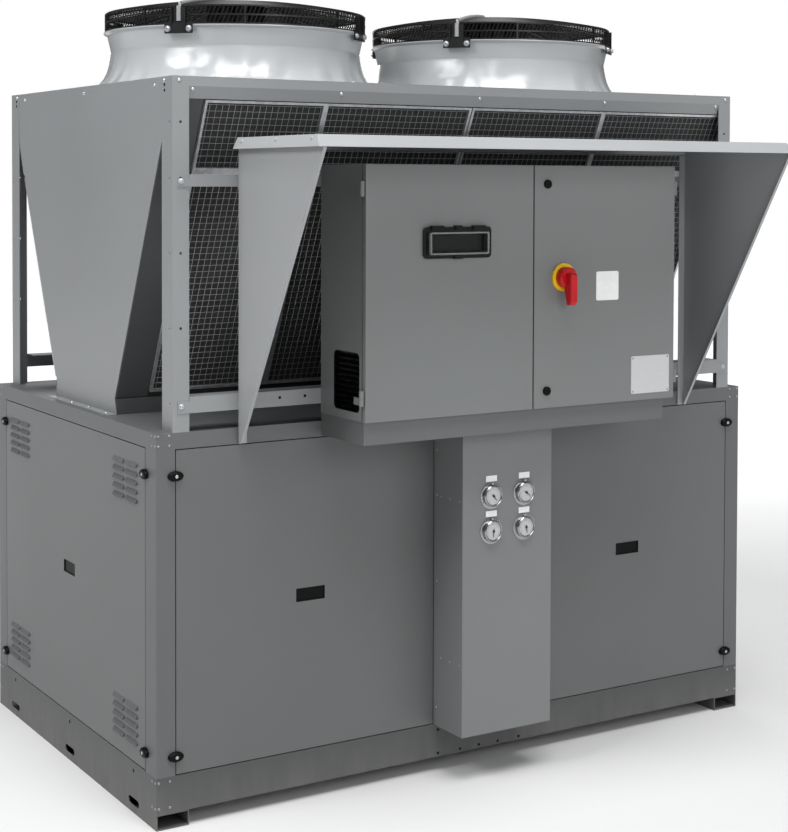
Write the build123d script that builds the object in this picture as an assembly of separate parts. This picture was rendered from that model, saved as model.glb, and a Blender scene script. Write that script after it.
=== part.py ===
from build123d import *
import math
import os

# Air source heat pump: a base cabinet with a V of two coils, two roof fans and a hooded electric box.
# Millimetres. X runs along the front from left to right, -Y is the front face, Z is up from the floor.
# Until save() sets the origin, Y is measured from the middle of the cabinet.

# Base cabinet
length = 2200
depth = 1370
cabinet_top = 1130
panel_bottom = 150
panel_top = 1083
skid_height = 45
skid_width = 100
skid_seam = 1
base_sheet = 3
base_flange = 60
sheet = 2
post_front = 58
post_side = 76
pan_depth = 20
stop = 15
panel_gap = 3
rail_flange = 50
slot_length = 78
slot_height = 22
slot_up = 33
slot_pitch = 519
sling_hole = 6
sling_hole_up = 124

# Access panels, their handles, latches and louvres
handle_width = 97
handle_height = 40
handle_depth = 24
handle_wall = 2
handle_lip = 6
handle_play = 0.5
latch_length = 47
latch_height = 29
latch_proud = 12
latch_pin = 4.5
latch_in = 76
latch_up = 55
louvre_length = 76
louvre_rise = 12
louvre_proud = 6
louvre_pitch = 26
louvre_gap = 22
louvre_rows = 5
louvre_margin = 58
louvre_wall = 1.2

# Gauge duct and its four gauges
duct_width = 334
duct_proud = 158
gauge_flange = 41
gauge_bezel = 33
gauge_proud = 16
gauge_can = 28
gauge_can_depth = 30
gauge_hole = 29
gauge_stub = 4
gauge_across = 123
gauge_up = 829
gauge_rise = 108
gauge_recess = 4
label_width = 40
label_height = 18
label_thick = 1.5
label_gap = 2

# Upper frame
deck_height = 2140
frame_inset = 50
frame_post_front = 52
frame_post_side = 72
frame_wall = 3
hole_radius = 4
hole_first_rise = 82
hole_first = cabinet_top + hole_first_rise
hole_top_drop = 130
hole_top = deck_height - hole_top_drop
hole_ends = 158
side_hole_radius = 3
side_hole_in = 17
drill = 20
low_rail_rise = 53
low_rail = cabinet_top + low_rail_rise
mid_rail_drop = 313
mid_rail = deck_height - mid_rail_drop
low_rail_height = 46
mid_rail_height = 35
rail_tab = 36
rail_tab_short = 12
rail_bolt_up = 0.45
rail_back = 60
beam_height = 63
beam_face = 28
beam_step = 10
beam_flange = 45

# Coils, their guards, the end plates and the drain tray
coil_top_y = 665
coil_drop = 60
coil_top_z = deck_height - coil_drop
coil_foot_y = 252
coil_foot_rise = 48
coil_foot_z = cabinet_top + coil_foot_rise
coil_thick = 70
end_sheet_width = 102
guard_bar = 17
guard_edge = 8
guard_foot = 21
guard_depth = 10
guard_start = 2
guard_split = 236
guard_break = 16
guard_end_gap = 22
guard_middle = -20
guard_joint = 4
guard_bay = 525
shoulder_drop = 168
end_shoulder = deck_height - shoulder_drop
end_foot_half = 249
end_foot_out = 12
end_flange = 30
tray_lip = 70
tray_wall = 2
tray_gap = 8

# Fans
fan_space = 200
fan_gap = 14
fan_flange = (length - fan_space) / 4
fan_out = fan_flange + fan_gap
fan_wall = 4
foot_thick = 3
lip_rise = 185
lip_top = deck_height + lip_rise
lip_drop = 10
lip_out = 12
lip_roll = 3
throat_in = 90
throat = fan_flange - throat_in
throat_rise = 122
throat_up = deck_height + throat_rise
lip_spread = 24
lip_radius = throat + lip_spread
flare_in = 26
flare = fan_flange - flare_in
flare_low = (0.58, 0.26)
flare_high = (0.86, 0.6)
blade_play = 16
blade_tip = throat - blade_play
blade_count = 5
blade_root_in = 8
blade_middle = 0.45
blade_chords = (150, 205, 270)
blade_pitches = (40, 29, 21)
blade_cambers = (14, 15, 14)
blade_sweeps = (0, 5, 17)
blade_thicks = (7, 6, 4)
hub_radius = 112
hub_low_rise = 76
hub_bottom = deck_height + hub_low_rise
hub_high_rise = 186
hub_top = deck_height + hub_high_rise
hub_round = 18
hub_face = 15
shaft_radius = 15
shaft_play = 0.05
motor_radius = 98
motor_gap = 6
motor_fins = 12
motor_fin_width = 10
motor_fin_in = 14
motor_round = 8
motor_band = 10
shaft_up = 20
guard_in = 9
guard_radius = lip_radius - guard_in
guard_rod = 5
rim_rise = 245
guard_rim_top = deck_height + rim_rise
peak_rise = 290
guard_peak = deck_height + peak_rise
guard_bulge = 0.72
guard_shoulder = 0.55
guard_arm_drop = 2
guard_arm_in = 6
guard_arms = 8
guard_plate = 112
guard_plate_thick = 5
bracket_width = 50
bracket_ears = 94
ears_rise = 157
bracket_low = deck_height + ears_rise
bracket_first = 40
bracket_wall = 4
bracket_short = 8
ear_up = 6

# Electric box on its plinth
box_half = 572
box_bottom = 1155
box_top = 1892
box_back = 688
box_front = 927
box_lip = 25
door_gap = 5
door_depth = 16
door_split = 17.5
plinth_bottom = 1088
plinth_front = 932
plinth_left = 568
plinth_right = 542
vent_width = 148
vent_height = 172
vent_corner = 16
vent_middle_y = 840
vent_middle_z = 1265
vent_wall = 3
vent_blades = 10
vent_depth = 16
vent_slat = 1.6
vent_slope = 35
vent_play = 0.6
plate_margin = 45
plate_stand = 12
plate_stud = 8
hinge_high = 1822
hinge_low = 1225
hinge_pin = 4
hinge_play = 0.3
hinge_barrel = 7
hinge_out = 8
hinge_half = 22
hinge_leaf = 3
hinge_leaf_back = 40
hinge_split = 1
hinge_web = 2
lock_radius = 13.5
lock_proud = 7
lock_edge = 1.5
key_length = 14
key_width = 3
key_depth = 2.5
lock_in = 50
lock_low = 1207
lock_high = 1836

# Display window, isolator
window_x = -263
window_z = 1665
window_width = 236
window_height = 92
window_proud = 12
window_open_width = 186
window_open_height = 52
window_corner = 12
window_step = (18, 14, 3)
window_rebate = 4
lug_in = 45
lug_wide = 42
lug_narrow = 22
lug_height = 12
lug_proud = 3
catch_width = 30
catch_height = 10
display_depth = 40
display_play = 6
display_border = (30, 22)
display_inset = 2
display_lip = 14
cover_wall = 2
cover_width = 206
cover_height = 66
cover_proud = 9
cover_corner = 6
cover_down = 2
isolator_x = 129
isolator_z = 1552
isolator_plate_radius = 43
isolator_plate_thick = 6
isolator_knob = 32
isolator_knob_proud = 26
grip_width = 27
grip_length = 84
grip_proud = 52
grip_round = 6
grip_root = 12
grip_slope = 10
grip_nose = 26
knob_edge = 4
knob_gap = 0.3

# Hood over the box
hood_half = 844
hood_front = 1161
hood_top = 1968
hood_lip_drop = 33
hood_lip_out = 35
hood_side_out = 14
hood_foot = 1084
cheek_flange = 26
cheek_nose = 12
cheek_gap = 5
cheek_edge = 10

# Worked out from the sizes above
front = -depth / 2
left = -length / 2
frame_left = left + frame_inset
coil_half = -frame_left - frame_wall - sheet
end_bay = -front - post_side - stop - sheet
front_bay = (duct_width / 2 + stop + sheet, -left - post_front - stop - sheet)
hood_reach = hood_front + hood_lip_out
middle_y = (depth / 2 - hood_reach) / 2
bottom, top = Align.MIN, Align.MAX
middle = Align.CENTER


def save(name, *solids):
    """Write one piece, moved so that the middle of the whole footprint is at the origin."""
    moved = [Pos(0, -middle_y, 0) * solid for solid in solids]
    shape = moved[0] if len(moved) == 1 else Compound(children=moved)
    export_step(shape, os.path.join("parts", name + ".step"))


def between(x0, x1, y0, y1, z0, z1):
    """A plain block between two limits on each axis."""
    centre = Pos((x0 + x1) / 2, (y0 + y1) / 2, (z0 + z1) / 2)
    return centre * Box(abs(x1 - x0), abs(y1 - y0), abs(z1 - z0))


def outline(*points):
    """A flat face with straight sides."""
    return make_face(Polyline(*points, close=True))


def folded(wall, *points):
    """Section of sheet folded along a path, with its thickness to the left of the path."""
    path = [Vector(*point) for point in points]
    inner = []
    for i, corner in enumerate(path):
        ways = []
        if i > 0:
            ways.append((corner - path[i - 1]).normalized())
        if i < len(path) - 1:
            ways.append((path[i + 1] - corner).normalized())
        normals = [Vector(-way.Y, way.X) for way in ways]
        mitre = normals[0] + normals[-1]
        inner.append(corner + mitre * (wall / (1 + normals[0].dot(normals[-1]))))
    return make_face(Polyline(*path, *reversed(inner), close=True))


def along_x(section, x0, x1):
    """Sweep a section drawn in Y and Z between two places along the length."""
    return extrude(Plane.YZ.offset(x0) * section, x1 - x0)


def along_y(section, y0, y1):
    """Sweep a section drawn in X and Z between two places from front to back."""
    return extrude(Plane.XZ.offset(-y1) * section, y1 - y0)


def upright(section, z0, z1):
    """Sweep a section drawn in X and Y between two heights."""
    return extrude(Plane.XY.offset(z0) * section, z1 - z0)


def both_ends(solid):
    """A piece and its mirror image at the other end of the unit."""
    return [solid, mirror(solid, Plane.YZ)]


def both_faces(solid):
    """A piece and its mirror image on the other long face."""
    return [solid, mirror(solid, Plane.XZ)]


def turned_round(solid):
    """A piece of the front coil and the same piece turned round for the back one."""
    return [solid, Rot(0, 0, 180) * solid]


def face_plane(side, along, up):
    """Working plane on a cabinet wall, seen from outside: x to the right, y up, z outwards."""
    if side == "front":
        return Plane((along, front, up), x_dir=(1, 0, 0), z_dir=(0, -1, 0))
    if side == "back":
        return Plane((along, -front, up), x_dir=(-1, 0, 0), z_dir=(0, 1, 0))
    if side == "left":
        return Plane((left, along, up), x_dir=(0, -1, 0), z_dir=(-1, 0, 0))
    return Plane((-left, along, up), x_dir=(0, 1, 0), z_dir=(1, 0, 0))


# Base frame: two folded end skids with sling slots, front and back beams between them, and the floor.

def base_skid():
    stop_x = left + pan_depth
    section = folded(
        base_sheet,
        (stop_x, panel_bottom),
        (left, panel_bottom),
        (left, 0),
        (left + skid_width, 0),
        (left + skid_width, skid_height),
        (left + base_sheet + skid_seam, skid_height),
    )
    skid = along_y(section, front, -front)
    low = panel_bottom - base_sheet
    skid += between(stop_x, stop_x + base_sheet, -end_bay, end_bay, low, panel_bottom + stop)
    for step in (-1, 0, 1):
        place = Pos(left, step * slot_pitch, slot_up) * Rot(0, 90, 0)
        slot = SlotOverall(slot_length, slot_height, rotation=90)
        skid -= place * extrude(slot, 2 * base_sheet, both=True)
        place = Pos(left, step * slot_pitch, sling_hole_up) * Rot(0, 90, 0)
        skid -= place * Cylinder(sling_hole, 4 * base_sheet)
    return skid


def base_beam():
    stop_y = front + pan_depth
    section = folded(
        base_sheet,
        (stop_y, panel_bottom),
        (front, panel_bottom),
        (front, skid_height),
        (front + base_flange, skid_height),
    )
    reach = -left - base_sheet
    low = panel_bottom - base_sheet
    beam = along_x(section, -reach, reach)
    for end in both_ends(between(-left - pan_depth, reach, front - 1, stop_y + 1, low, panel_bottom + 1)):
        beam -= end
    for bay in both_ends(between(*front_bay, stop_y, stop_y + base_sheet, low, panel_bottom + stop)):
        beam += bay
    return beam


def base_floor():
    inside_x = -left - base_sheet
    inside_y = -front - base_sheet
    low = skid_height + base_sheet
    return between(-inside_x, inside_x, -inside_y, inside_y, low, low + sheet)


# Cabinet frame: corner posts, the rails between their heads, mullions behind the duct, and the lid.

def corner_post():
    x1 = left + post_front
    y1 = front + post_side
    section = folded(
        sheet,
        (left + pan_depth, y1 + stop),
        (left + pan_depth, y1),
        (left, y1),
        (left, front),
        (x1, front),
        (x1, front + pan_depth),
        (x1 + stop, front + pan_depth),
    )
    head = folded(sheet, (left, y1), (left, front), (x1, front))
    return upright(section, panel_bottom, panel_top) + upright(head, panel_top, cabinet_top - sheet)


def long_top_rail():
    stop_y = front + pan_depth
    high = cabinet_top - sheet
    upper = ((front + rail_flange, high), (front, high))
    section = folded(sheet, *upper, (front, panel_top), (stop_y, panel_top))
    rail = along_x(section, left + post_front, -left - post_front)
    for bay in both_ends(between(*front_bay, stop_y, stop_y + sheet, panel_top - stop, panel_top + sheet)):
        rail += bay
    return rail


def end_top_rail():
    stop_x = left + pan_depth
    high = cabinet_top - sheet
    section = folded(sheet, (left + rail_flange, high), (left, high), (left, panel_top), (stop_x, panel_top))
    rail = along_y(section, front + post_side, -front - post_side)
    return rail + between(stop_x, stop_x + sheet, -end_bay, end_bay, panel_top - stop, panel_top + sheet)


def mullion():
    half = duct_width / 2
    section = folded(
        sheet,
        (-half - stop, front + pan_depth),
        (-half, front + pan_depth),
        (-half, front),
        (half, front),
        (half, front + pan_depth),
        (half + stop, front + pan_depth),
    )
    return upright(section, panel_bottom, panel_top)


def lid():
    return between(left, -left, front, -front, cabinet_top - sheet, cabinet_top)


# Access panels: shallow pans with folded edges, a handle opening, and louvres on the end panels.

def pan(width, height):
    outer = Box(width, height, pan_depth, align=(middle, middle, top))
    inner = Box(width - 2 * sheet, height - 2 * sheet, pan_depth, align=(middle, middle, top))
    opening = Box(handle_width, handle_height, 3 * sheet)
    return outer - Pos(0, 0, -sheet) * inner - opening


def louvre(grow):
    """One pressed louvre, open below; grow is its wall, or zero for the hollow inside it."""
    rise = outline(
        (louvre_rise / 2 + grow, 0),
        (-louvre_rise / 2, louvre_proud + grow),
        (-louvre_rise / 2, -1.5 * sheet),
        (louvre_rise / 2 - louvre_proud + grow, -1.5 * sheet),
    )
    half = louvre_length / 2 + grow
    return extrude(Plane.YZ.offset(-half) * rise, 2 * half)


def louvre_places(width, height):
    """Louvre centres: two columns in each corner of an end panel."""
    half_pitch = (louvre_length + louvre_gap) / 2
    block_x = width / 2 - louvre_margin - louvre_length / 2 - half_pitch
    block_y = height / 2 - louvre_margin - (louvre_rows - 1) * louvre_pitch / 2
    places = []
    for x in (-block_x, block_x):
        for y in (-block_y, block_y):
            for column in (-half_pitch, half_pitch):
                for row in range(louvre_rows):
                    step = (row - (louvre_rows - 1) / 2) * louvre_pitch
                    places.append(Pos(x + column, y + step, 0))
    return places


def louvred_pan(width, height):
    """An end panel: the louvres are pressed out of its skin."""
    places = louvre_places(width, height)
    below = Box(4 * width, 4 * height, 10 * louvre_proud, align=(middle, middle, top))
    shells = [place * (louvre(louvre_wall) - below) for place in places]
    hollows = [place * louvre(0) for place in places]
    return pan(width, height).fuse(*shells).cut(*hollows)


front_pan_width = -left - post_front - duct_width / 2 - 2 * panel_gap
end_pan_width = depth - 2 * post_side - 2 * panel_gap
pan_height = panel_top - panel_bottom - 2 * panel_gap
pan_middle_x = (-left - post_front + duct_width / 2) / 2
pan_middle_z = (panel_top + panel_bottom) / 2


def handle_cup():
    """Moulded cup set into a panel opening, with a flange behind the skin."""
    outer = Box(handle_width, handle_height, handle_depth, align=(middle, middle, top))
    inner = Box(
        handle_width - 2 * handle_wall,
        handle_height - 2 * handle_wall,
        handle_depth - handle_wall,
        align=(middle, middle, top),
    )
    flange_width = handle_width + 2 * handle_lip
    flange_height = handle_height + 2 * handle_lip
    flange = Box(flange_width, flange_height, handle_wall, align=(middle, middle, top))
    hole = Box(handle_width - 2 * handle_play, handle_height - 2 * handle_play, 3 * handle_wall)
    return outer - inner + (Pos(0, 0, -sheet) * flange - hole)


def latch():
    """Oval quarter-turn latch across a panel joint, with a steel pin in its face."""
    body = extrude(Ellipse(latch_length / 2, latch_height / 2), latch_proud)
    body = fillet(body.edges().group_by(Axis.Z)[-1], latch_proud / 2)
    slot = Pos(0, 0, latch_proud) * Box(2 * latch_pin, sheet, 2 * sheet)
    return body - slot


def panel_places():
    """Face plane of every access panel."""
    return [
        face_plane("front", -pan_middle_x, pan_middle_z),
        face_plane("front", pan_middle_x, pan_middle_z),
        face_plane("left", 0, pan_middle_z),
        face_plane("right", 0, pan_middle_z),
        face_plane("back", pan_middle_x, pan_middle_z),
        face_plane("back", -pan_middle_x, pan_middle_z),
    ]


def latch_places():
    """Two latches on the corner posts beside every panel, and on both sides of the end panels."""
    joint = -left - post_front
    places = []
    for up in (panel_bottom + latch_up, panel_top - latch_in):
        for side in ("front", "back"):
            places += [face_plane(side, way * joint, up) for way in (-1, 1)]
        for side in ("left", "right"):
            places += [face_plane(side, way * (-front - post_side), up) for way in (-1, 1)]
    return places


# Gauge duct down the middle of the front, with four flanged gauges and blank label plates.

duct_front = front - duct_proud


def gauge_duct():
    half = duct_width / 2
    section = folded(sheet, (-half, front), (-half, duct_front), (half, duct_front), (half, front))
    duct = upright(section, panel_bottom, plinth_bottom)
    inside = half - sheet
    floor = between(-inside, inside, duct_front + sheet, front, panel_bottom, panel_bottom + sheet)
    duct += floor
    for place in gauge_places():
        duct -= place * Cylinder(gauge_hole, 4 * sheet)
    return duct


def gauge_places():
    """Working plane of each gauge on the front of the duct."""
    return [
        Plane((x, duct_front, z), x_dir=(1, 0, 0), z_dir=(0, -1, 0))
        for x in (-gauge_across / 2, gauge_across / 2)
        for z in (gauge_up - gauge_rise / 2, gauge_up + gauge_rise / 2)
    ]


def gauge_body():
    """Flanged gauge case: mounting flange, rolled bezel, and the can behind the panel."""
    profile = outline(
        (0, -gauge_can_depth),
        (gauge_can, -gauge_can_depth),
        (gauge_can, 0),
        (gauge_flange, 0),
        (gauge_flange, 2),
        (gauge_bezel + 1, 3),
        (gauge_bezel, gauge_proud - 3),
        (gauge_bezel - 3, gauge_proud),
        (gauge_can, gauge_proud - 1),
        (gauge_bezel - 6, gauge_proud - gauge_recess),
        (0, gauge_proud - gauge_recess),
    )
    case = revolve(Plane.XZ * profile, Axis.Z)
    stub = Cylinder(gauge_stub, gauge_proud / 2, align=(middle, middle, bottom))
    stub = Pos(0, gauge_bezel + gauge_stub - 1, 0) * stub
    return case + stub


def gauge_dial():
    dial_radius = gauge_bezel - 7
    dial = Pos(0, 0, gauge_proud - gauge_recess) * Cylinder(dial_radius, 1.2, align=(middle, middle, bottom))
    boss = Pos(0, 0, gauge_proud - gauge_recess) * Cylinder(3, 3.2, align=(middle, middle, bottom))
    return dial + boss


def gauge_label():
    up = gauge_flange + label_height / 2 + label_gap
    return Pos(0, up, 0) * Box(label_width, label_height, label_thick, align=(middle, middle, bottom))


# Upper frame: four angle posts, cross rails tabbed over their faces, and stepped beams under the deck.

def frame_post():
    section = folded(
        frame_wall,
        (frame_left, front + frame_post_side),
        (frame_left, front),
        (frame_left + frame_post_front, front),
    )
    post = upright(section, cabinet_top, deck_height)
    for up in hole_heights():
        front_hole = Pos(frame_left + frame_post_front / 2, front, up) * Rot(90, 0, 0)
        side_hole = Pos(frame_left, front + side_hole_in, up) * Rot(0, 90, 0)
        post -= front_hole * Cylinder(hole_radius, drill)
        post -= side_hole * Cylinder(side_hole_radius, drill)
    return post


def hole_heights():
    pitch = (deck_height - cabinet_top - hole_ends) / 4
    return [hole_first + step * pitch for step in range(4)] + [hole_top]


def cross_rail(low, height):
    """Rail across the posts: a front web on the post faces and a top flange turned back between them."""
    reach = -frame_left - frame_post_front
    face = front - frame_wall
    section = folded(frame_wall, (front + rail_back, low + height), (face, low + height), (face, low))
    rail = along_x(section, -reach, reach)
    for way in (-1, 1):
        inner, outer = way * reach, way * (reach + rail_tab)
        rail += between(inner, outer, face, front, low, low + height - rail_tab_short)
        bolt_x = way * (-frame_left - frame_post_front / 2)
        place = Pos(bolt_x, front, low + rail_bolt_up * height) * Rot(90, 0, 0)
        rail -= place * Cylinder(hole_radius, drill)
    return rail


def top_beam():
    """Beam under the deck: an upright upper face flush with the posts over a face that slopes in."""
    reach = -frame_left - frame_post_front
    low = deck_height - beam_height
    face = deck_height - beam_face
    section = folded(
        sheet,
        (front + beam_flange, deck_height - frame_wall),
        (front, deck_height - frame_wall),
        (front, face),
        (front + beam_step, low),
    )
    return along_x(section, -reach, reach)


def end_plate():
    """End sheet: full width under the deck, then tapering with the coils down to a foot flange."""
    wide = -front - frame_wall
    shoulder = -front - frame_post_side
    x = frame_left + frame_wall
    sheet_face = outline(
        (-wide, deck_height - frame_wall),
        (-wide, end_shoulder),
        (-shoulder, end_shoulder),
        (-end_foot_half, coil_foot_z),
        (-end_foot_half - end_foot_out, cabinet_top),
        (end_foot_half + end_foot_out, cabinet_top),
        (end_foot_half, coil_foot_z),
        (shoulder, end_shoulder),
        (wide, end_shoulder),
        (wide, deck_height - frame_wall),
    )
    plate = along_x(sheet_face, x, x + sheet)
    foot = end_foot_half + end_foot_out
    plate += between(x - end_flange, x, -foot, foot, cabinet_top, cabinet_top + sheet)
    return plate


# Coils in a V, their end sheets, wire-guard frames and the drain tray between their feet.

slope = Vector(0, coil_foot_y - coil_top_y, coil_top_z - coil_foot_z)
coil_length = slope.length
lean = math.degrees(math.atan2(coil_top_y - coil_foot_y, coil_top_z - coil_foot_z))


def coil_plane():
    """Outer face of the front coil: x along the unit, y up the slope, z outwards; origin at its top."""
    angle = math.radians(lean)
    outwards = (0, -math.cos(angle), -math.sin(angle))
    return Plane((0, -coil_top_y, coil_top_z), x_dir=(1, 0, 0), z_dir=outwards)


def on_coil(x0, x1, down0, down1, out0, out1):
    """Block on the coil's outer face, measured down the slope from its top edge."""
    return coil_plane() * between(x0, x1, -down0, -down1, out0, out1)


def coil():
    return on_coil(-coil_half, coil_half, 0, coil_length, -coil_thick, 0)


def coil_end_sheet():
    return on_coil(-coil_half, -coil_half + end_sheet_width, 0, coil_length - sheet, 0, sheet)


def guard_frame():
    """Frames that hold the wire guard: two side by side in an upper row and two taller ones below."""
    start = -coil_half + end_sheet_width + panel_gap
    half_joint = guard_joint / 2
    halves = (
        (start, guard_middle - half_joint, guard_middle - guard_bay),
        (guard_middle + half_joint, coil_half, guard_middle + guard_bay),
    )
    rows = (
        (guard_start, guard_split, guard_foot),
        (guard_split + guard_break, coil_length - guard_end_gap, guard_edge),
    )
    parts = []
    for down0, down1, foot in rows:
        for x0, x1, bar_x in halves:
            frame = on_coil(x0, x1, down0, down1, 0, guard_depth)
            bays = ((x0 + guard_edge, bar_x - guard_bar / 2), (bar_x + guard_bar / 2, x1 - guard_edge))
            for bay0, bay1 in bays:
                frame -= on_coil(bay0, bay1, down0 + guard_edge, down1 - foot, -1, guard_depth + 1)
            parts.append(frame)
    return parts


def drain_tray():
    half = coil_foot_y + tray_gap
    section = folded(
        tray_wall,
        (-half + tray_lip, coil_foot_z),
        (-half, coil_foot_z),
        (-half, cabinet_top),
        (half, cabinet_top),
        (half, coil_foot_z),
        (half - tray_lip, coil_foot_z),
    )
    return along_x(section, -coil_half, coil_half)


# Fan deck, flared shrouds, domed guards, motors and rotors.

def fan_deck():
    wide = -frame_left - frame_wall
    low = deck_height - frame_wall
    deck = between(-wide, wide, front + frame_wall, -front - frame_wall, low, deck_height)
    for way in (-1, 1):
        deck -= Pos(way * fan_out, 0, low) * Cylinder(flare - 2 * fan_wall, drill)
    return deck


def shroud():
    """Flared fan shroud: foot flange, bell up to the throat, then a cone to the rolled lip."""
    foot = deck_height
    foot_top = foot + foot_thick
    rise = throat_up - foot
    bell = []
    for inwards, upwards in (flare_low, flare_high):
        bell.append((flare - inwards * (flare - throat), foot + upwards * rise))
    inner_bell = [(radius - fan_wall, up) for radius, up in reversed(bell)]
    outer = Spline((flare, foot_top), *bell, (throat, throat_up))
    inner = Spline((throat - fan_wall, throat_up), *inner_bell, (flare - fan_wall, foot))
    collar = lip_top - lip_drop
    rim = Polyline(
        (throat, throat_up),
        (lip_radius - lip_out, collar),
        (lip_radius, lip_top - lip_roll),
        (lip_radius, lip_top),
        (lip_radius - 2 * fan_wall, lip_top),
        (lip_radius - lip_out - fan_wall, collar),
        (throat - fan_wall, throat_up),
    )
    flange = Polyline((flare - fan_wall, foot), (fan_flange, foot), (fan_flange, foot_top), (flare, foot_top))
    profile = make_face(Wire([outer.edge(), *rim.edges(), inner.edge(), *flange.edges()]))
    return revolve(Plane.XZ * profile, Axis.Z)


def fan_guard():
    """Carrying parts of the fan guard: rim rods, domed arms with legs, the hub plate and four brackets."""
    rod = guard_rod
    parts = []
    for up in (lip_top, (lip_top + guard_rim_top - rod) / 2, guard_rim_top - rod):
        ring = Pos(0, 0, up) * (
            Cylinder(guard_radius + rod, rod, align=(middle, middle, bottom))
            - Cylinder(guard_radius, 3 * rod, align=(middle, middle, middle))
        )
        parts.append(ring)
    shoulder = guard_radius * guard_shoulder
    bulge = guard_rim_top + (guard_peak - guard_rim_top) * guard_bulge
    inner_reach = guard_plate - guard_arm_in
    crown = guard_peak - guard_arm_drop
    rim = guard_rim_top
    over = ThreePointArc((guard_radius + rod, rim), (shoulder, bulge), (inner_reach, crown))
    under = ThreePointArc((inner_reach, crown - rod), (shoulder, bulge - rod), (guard_radius, rim - rod))
    inner_end = Line(over @ 1, under @ 0)
    leg = Polyline(under @ 1, (guard_radius, lip_top), (guard_radius + rod, lip_top), over @ 0)
    arm_face = make_face(Wire([over.edge(), inner_end.edge(), under.edge(), *leg.edges()]))
    for step in range(guard_arms):
        turn = Rot(0, 0, 360 / guard_arms * (step + 0.5))
        parts.append(turn * extrude(Plane.XZ * arm_face, rod / 2, both=True))
    hub_plate = Cylinder(guard_plate, guard_plate_thick, align=(middle, middle, top))
    parts.append(Pos(0, 0, guard_peak) * hub_plate)
    for step in range(4):
        parts.append(Rot(0, 0, bracket_first + 90 * step) * guard_bracket())
    return parts[0].fuse(*parts[1:])


def guard_bracket():
    """Bracket at the shroud lip: an upright channel on two bolted ears."""
    inner = guard_radius + guard_rod
    face = lip_radius + bracket_wall
    half = bracket_width / 2
    post = between(inner - 1, face + bracket_wall, -half, half, lip_top, guard_rim_top - bracket_short)
    hollow = half - bracket_wall
    outer = face + 2 * bracket_wall
    post -= between(inner + bracket_wall, outer, -hollow, hollow, lip_top - 1, guard_rim_top)
    ears = between(lip_radius, face, -bracket_ears / 2, bracket_ears / 2, bracket_low, lip_top + ear_up)
    return post + ears


def fan_motor():
    """Finned stator under the guard plate, with the shaft that carries the rotor."""
    high = guard_peak - guard_plate_thick
    low = hub_top + motor_gap
    body = Pos(0, 0, low) * Cylinder(motor_radius, high - low, align=(middle, middle, bottom))
    body = fillet(body.edges().group_by(Axis.Z)[0], motor_round)
    for step in range(motor_fins):
        half = motor_fin_width / 2
        reach = (motor_radius - motor_fin_in, motor_radius + 1)
        slot = between(*reach, -half, half, low + motor_fin_in, high - motor_band)
        body -= Rot(0, 0, 360 / motor_fins * step) * slot
    shaft = Cylinder(shaft_radius, low - hub_bottom, align=(middle, middle, bottom))
    shaft = Pos(0, 0, hub_bottom + shaft_up) * shaft
    return body + shaft


def blade_section(radius, chord, pitch, camber, sweep, thick):
    """Lens-shaped blade section on the plane square to a radius that is swept round by an angle."""
    turn = math.radians(sweep)
    place = Plane(
        (radius * math.cos(turn), radius * math.sin(turn), (hub_bottom + hub_top) / 2),
        x_dir=(-math.sin(turn), math.cos(turn), 0),
        z_dir=(math.cos(turn), math.sin(turn), 0),
    )
    upper = ThreePointArc((-chord / 2, 0), (0, camber + thick), (chord / 2, 0))
    lower = ThreePointArc((chord / 2, 0), (0, camber), (-chord / 2, 0))
    return place * (Rot(0, 0, pitch) * make_face(Wire([upper.edge(), lower.edge()])))


def fan_rotor():
    """Swept, twisted blades lofted from root to tip round a rounded hub on the motor shaft."""
    hub = Pos(0, 0, hub_bottom) * Cylinder(hub_radius, hub_top - hub_bottom, align=(middle, middle, bottom))
    hub = fillet(hub.edges().group_by(Axis.Z)[0], hub_round)
    bore_depth = hub_top - hub_bottom - hub_face
    hub -= Pos(0, 0, hub_top) * Cylinder(shaft_radius + shaft_play, bore_depth, align=(middle, middle, top))
    reach = blade_tip - hub_radius
    radii = (hub_radius - blade_root_in, hub_radius + blade_middle * reach, blade_tip)
    shapes = zip(radii, blade_chords, blade_pitches, blade_cambers, blade_sweeps, blade_thicks)
    sections = [blade_section(*shape) for shape in shapes]
    blade = loft(sections)
    core = Cylinder(hub_radius - blade_root_in + 1, blade_tip)
    rim = Pos(0, 0, hub_bottom) * (Cylinder(blade_tip, blade_tip) - core)
    blade = blade & rim
    blades = [Rot(0, 0, 360 / blade_count * step) * blade for step in range(blade_count)]
    return hub.fuse(*blades)


# Electric box: open-fronted shell, bare back plate, vents, plinth, hinges and two doors.

def box_shell():
    width = box_half - sheet
    mouth_width = box_half - box_lip
    rear, face = -box_back, -box_front
    outer = between(-box_half, box_half, rear, face, box_bottom, box_top)
    hollow = between(-width, width, rear - sheet, face + sheet, box_bottom + sheet, box_top - sheet)
    mouth_low, mouth_high = box_bottom + box_lip, box_top - box_lip
    mouth = between(-mouth_width, mouth_width, face + 3 * sheet, face - sheet, mouth_low, mouth_high)
    shell = outer - hollow - mouth
    for way in (-1, 1):
        shell -= vent_place(way) * extrude(vent_outline(0), 4 * sheet, both=True)
    return shell


def vent_outline(shrink):
    return RectangleRounded(vent_width - shrink, vent_height - shrink, vent_corner - shrink / 4)


def vent_place(way):
    return Plane((way * box_half, -vent_middle_y, vent_middle_z), x_dir=(0, way, 0), z_dir=(way, 0, 0))


def box_vent():
    """Black louvred inlay set into the side of the box."""
    frame = extrude(vent_outline(vent_play), -vent_depth)
    frame -= extrude(vent_outline(2 * vent_wall), -vent_depth)
    pitch = (vent_height - 4 * vent_wall) / vent_blades
    for step in range(vent_blades):
        up = (step - (vent_blades - 1) / 2) * pitch
        slat = Box(vent_width - vent_wall, vent_slat, vent_depth - vent_wall)
        frame += Pos(0, up, -vent_depth / 2) * Rot(vent_slope, 0, 0) * slat
    return frame


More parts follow.
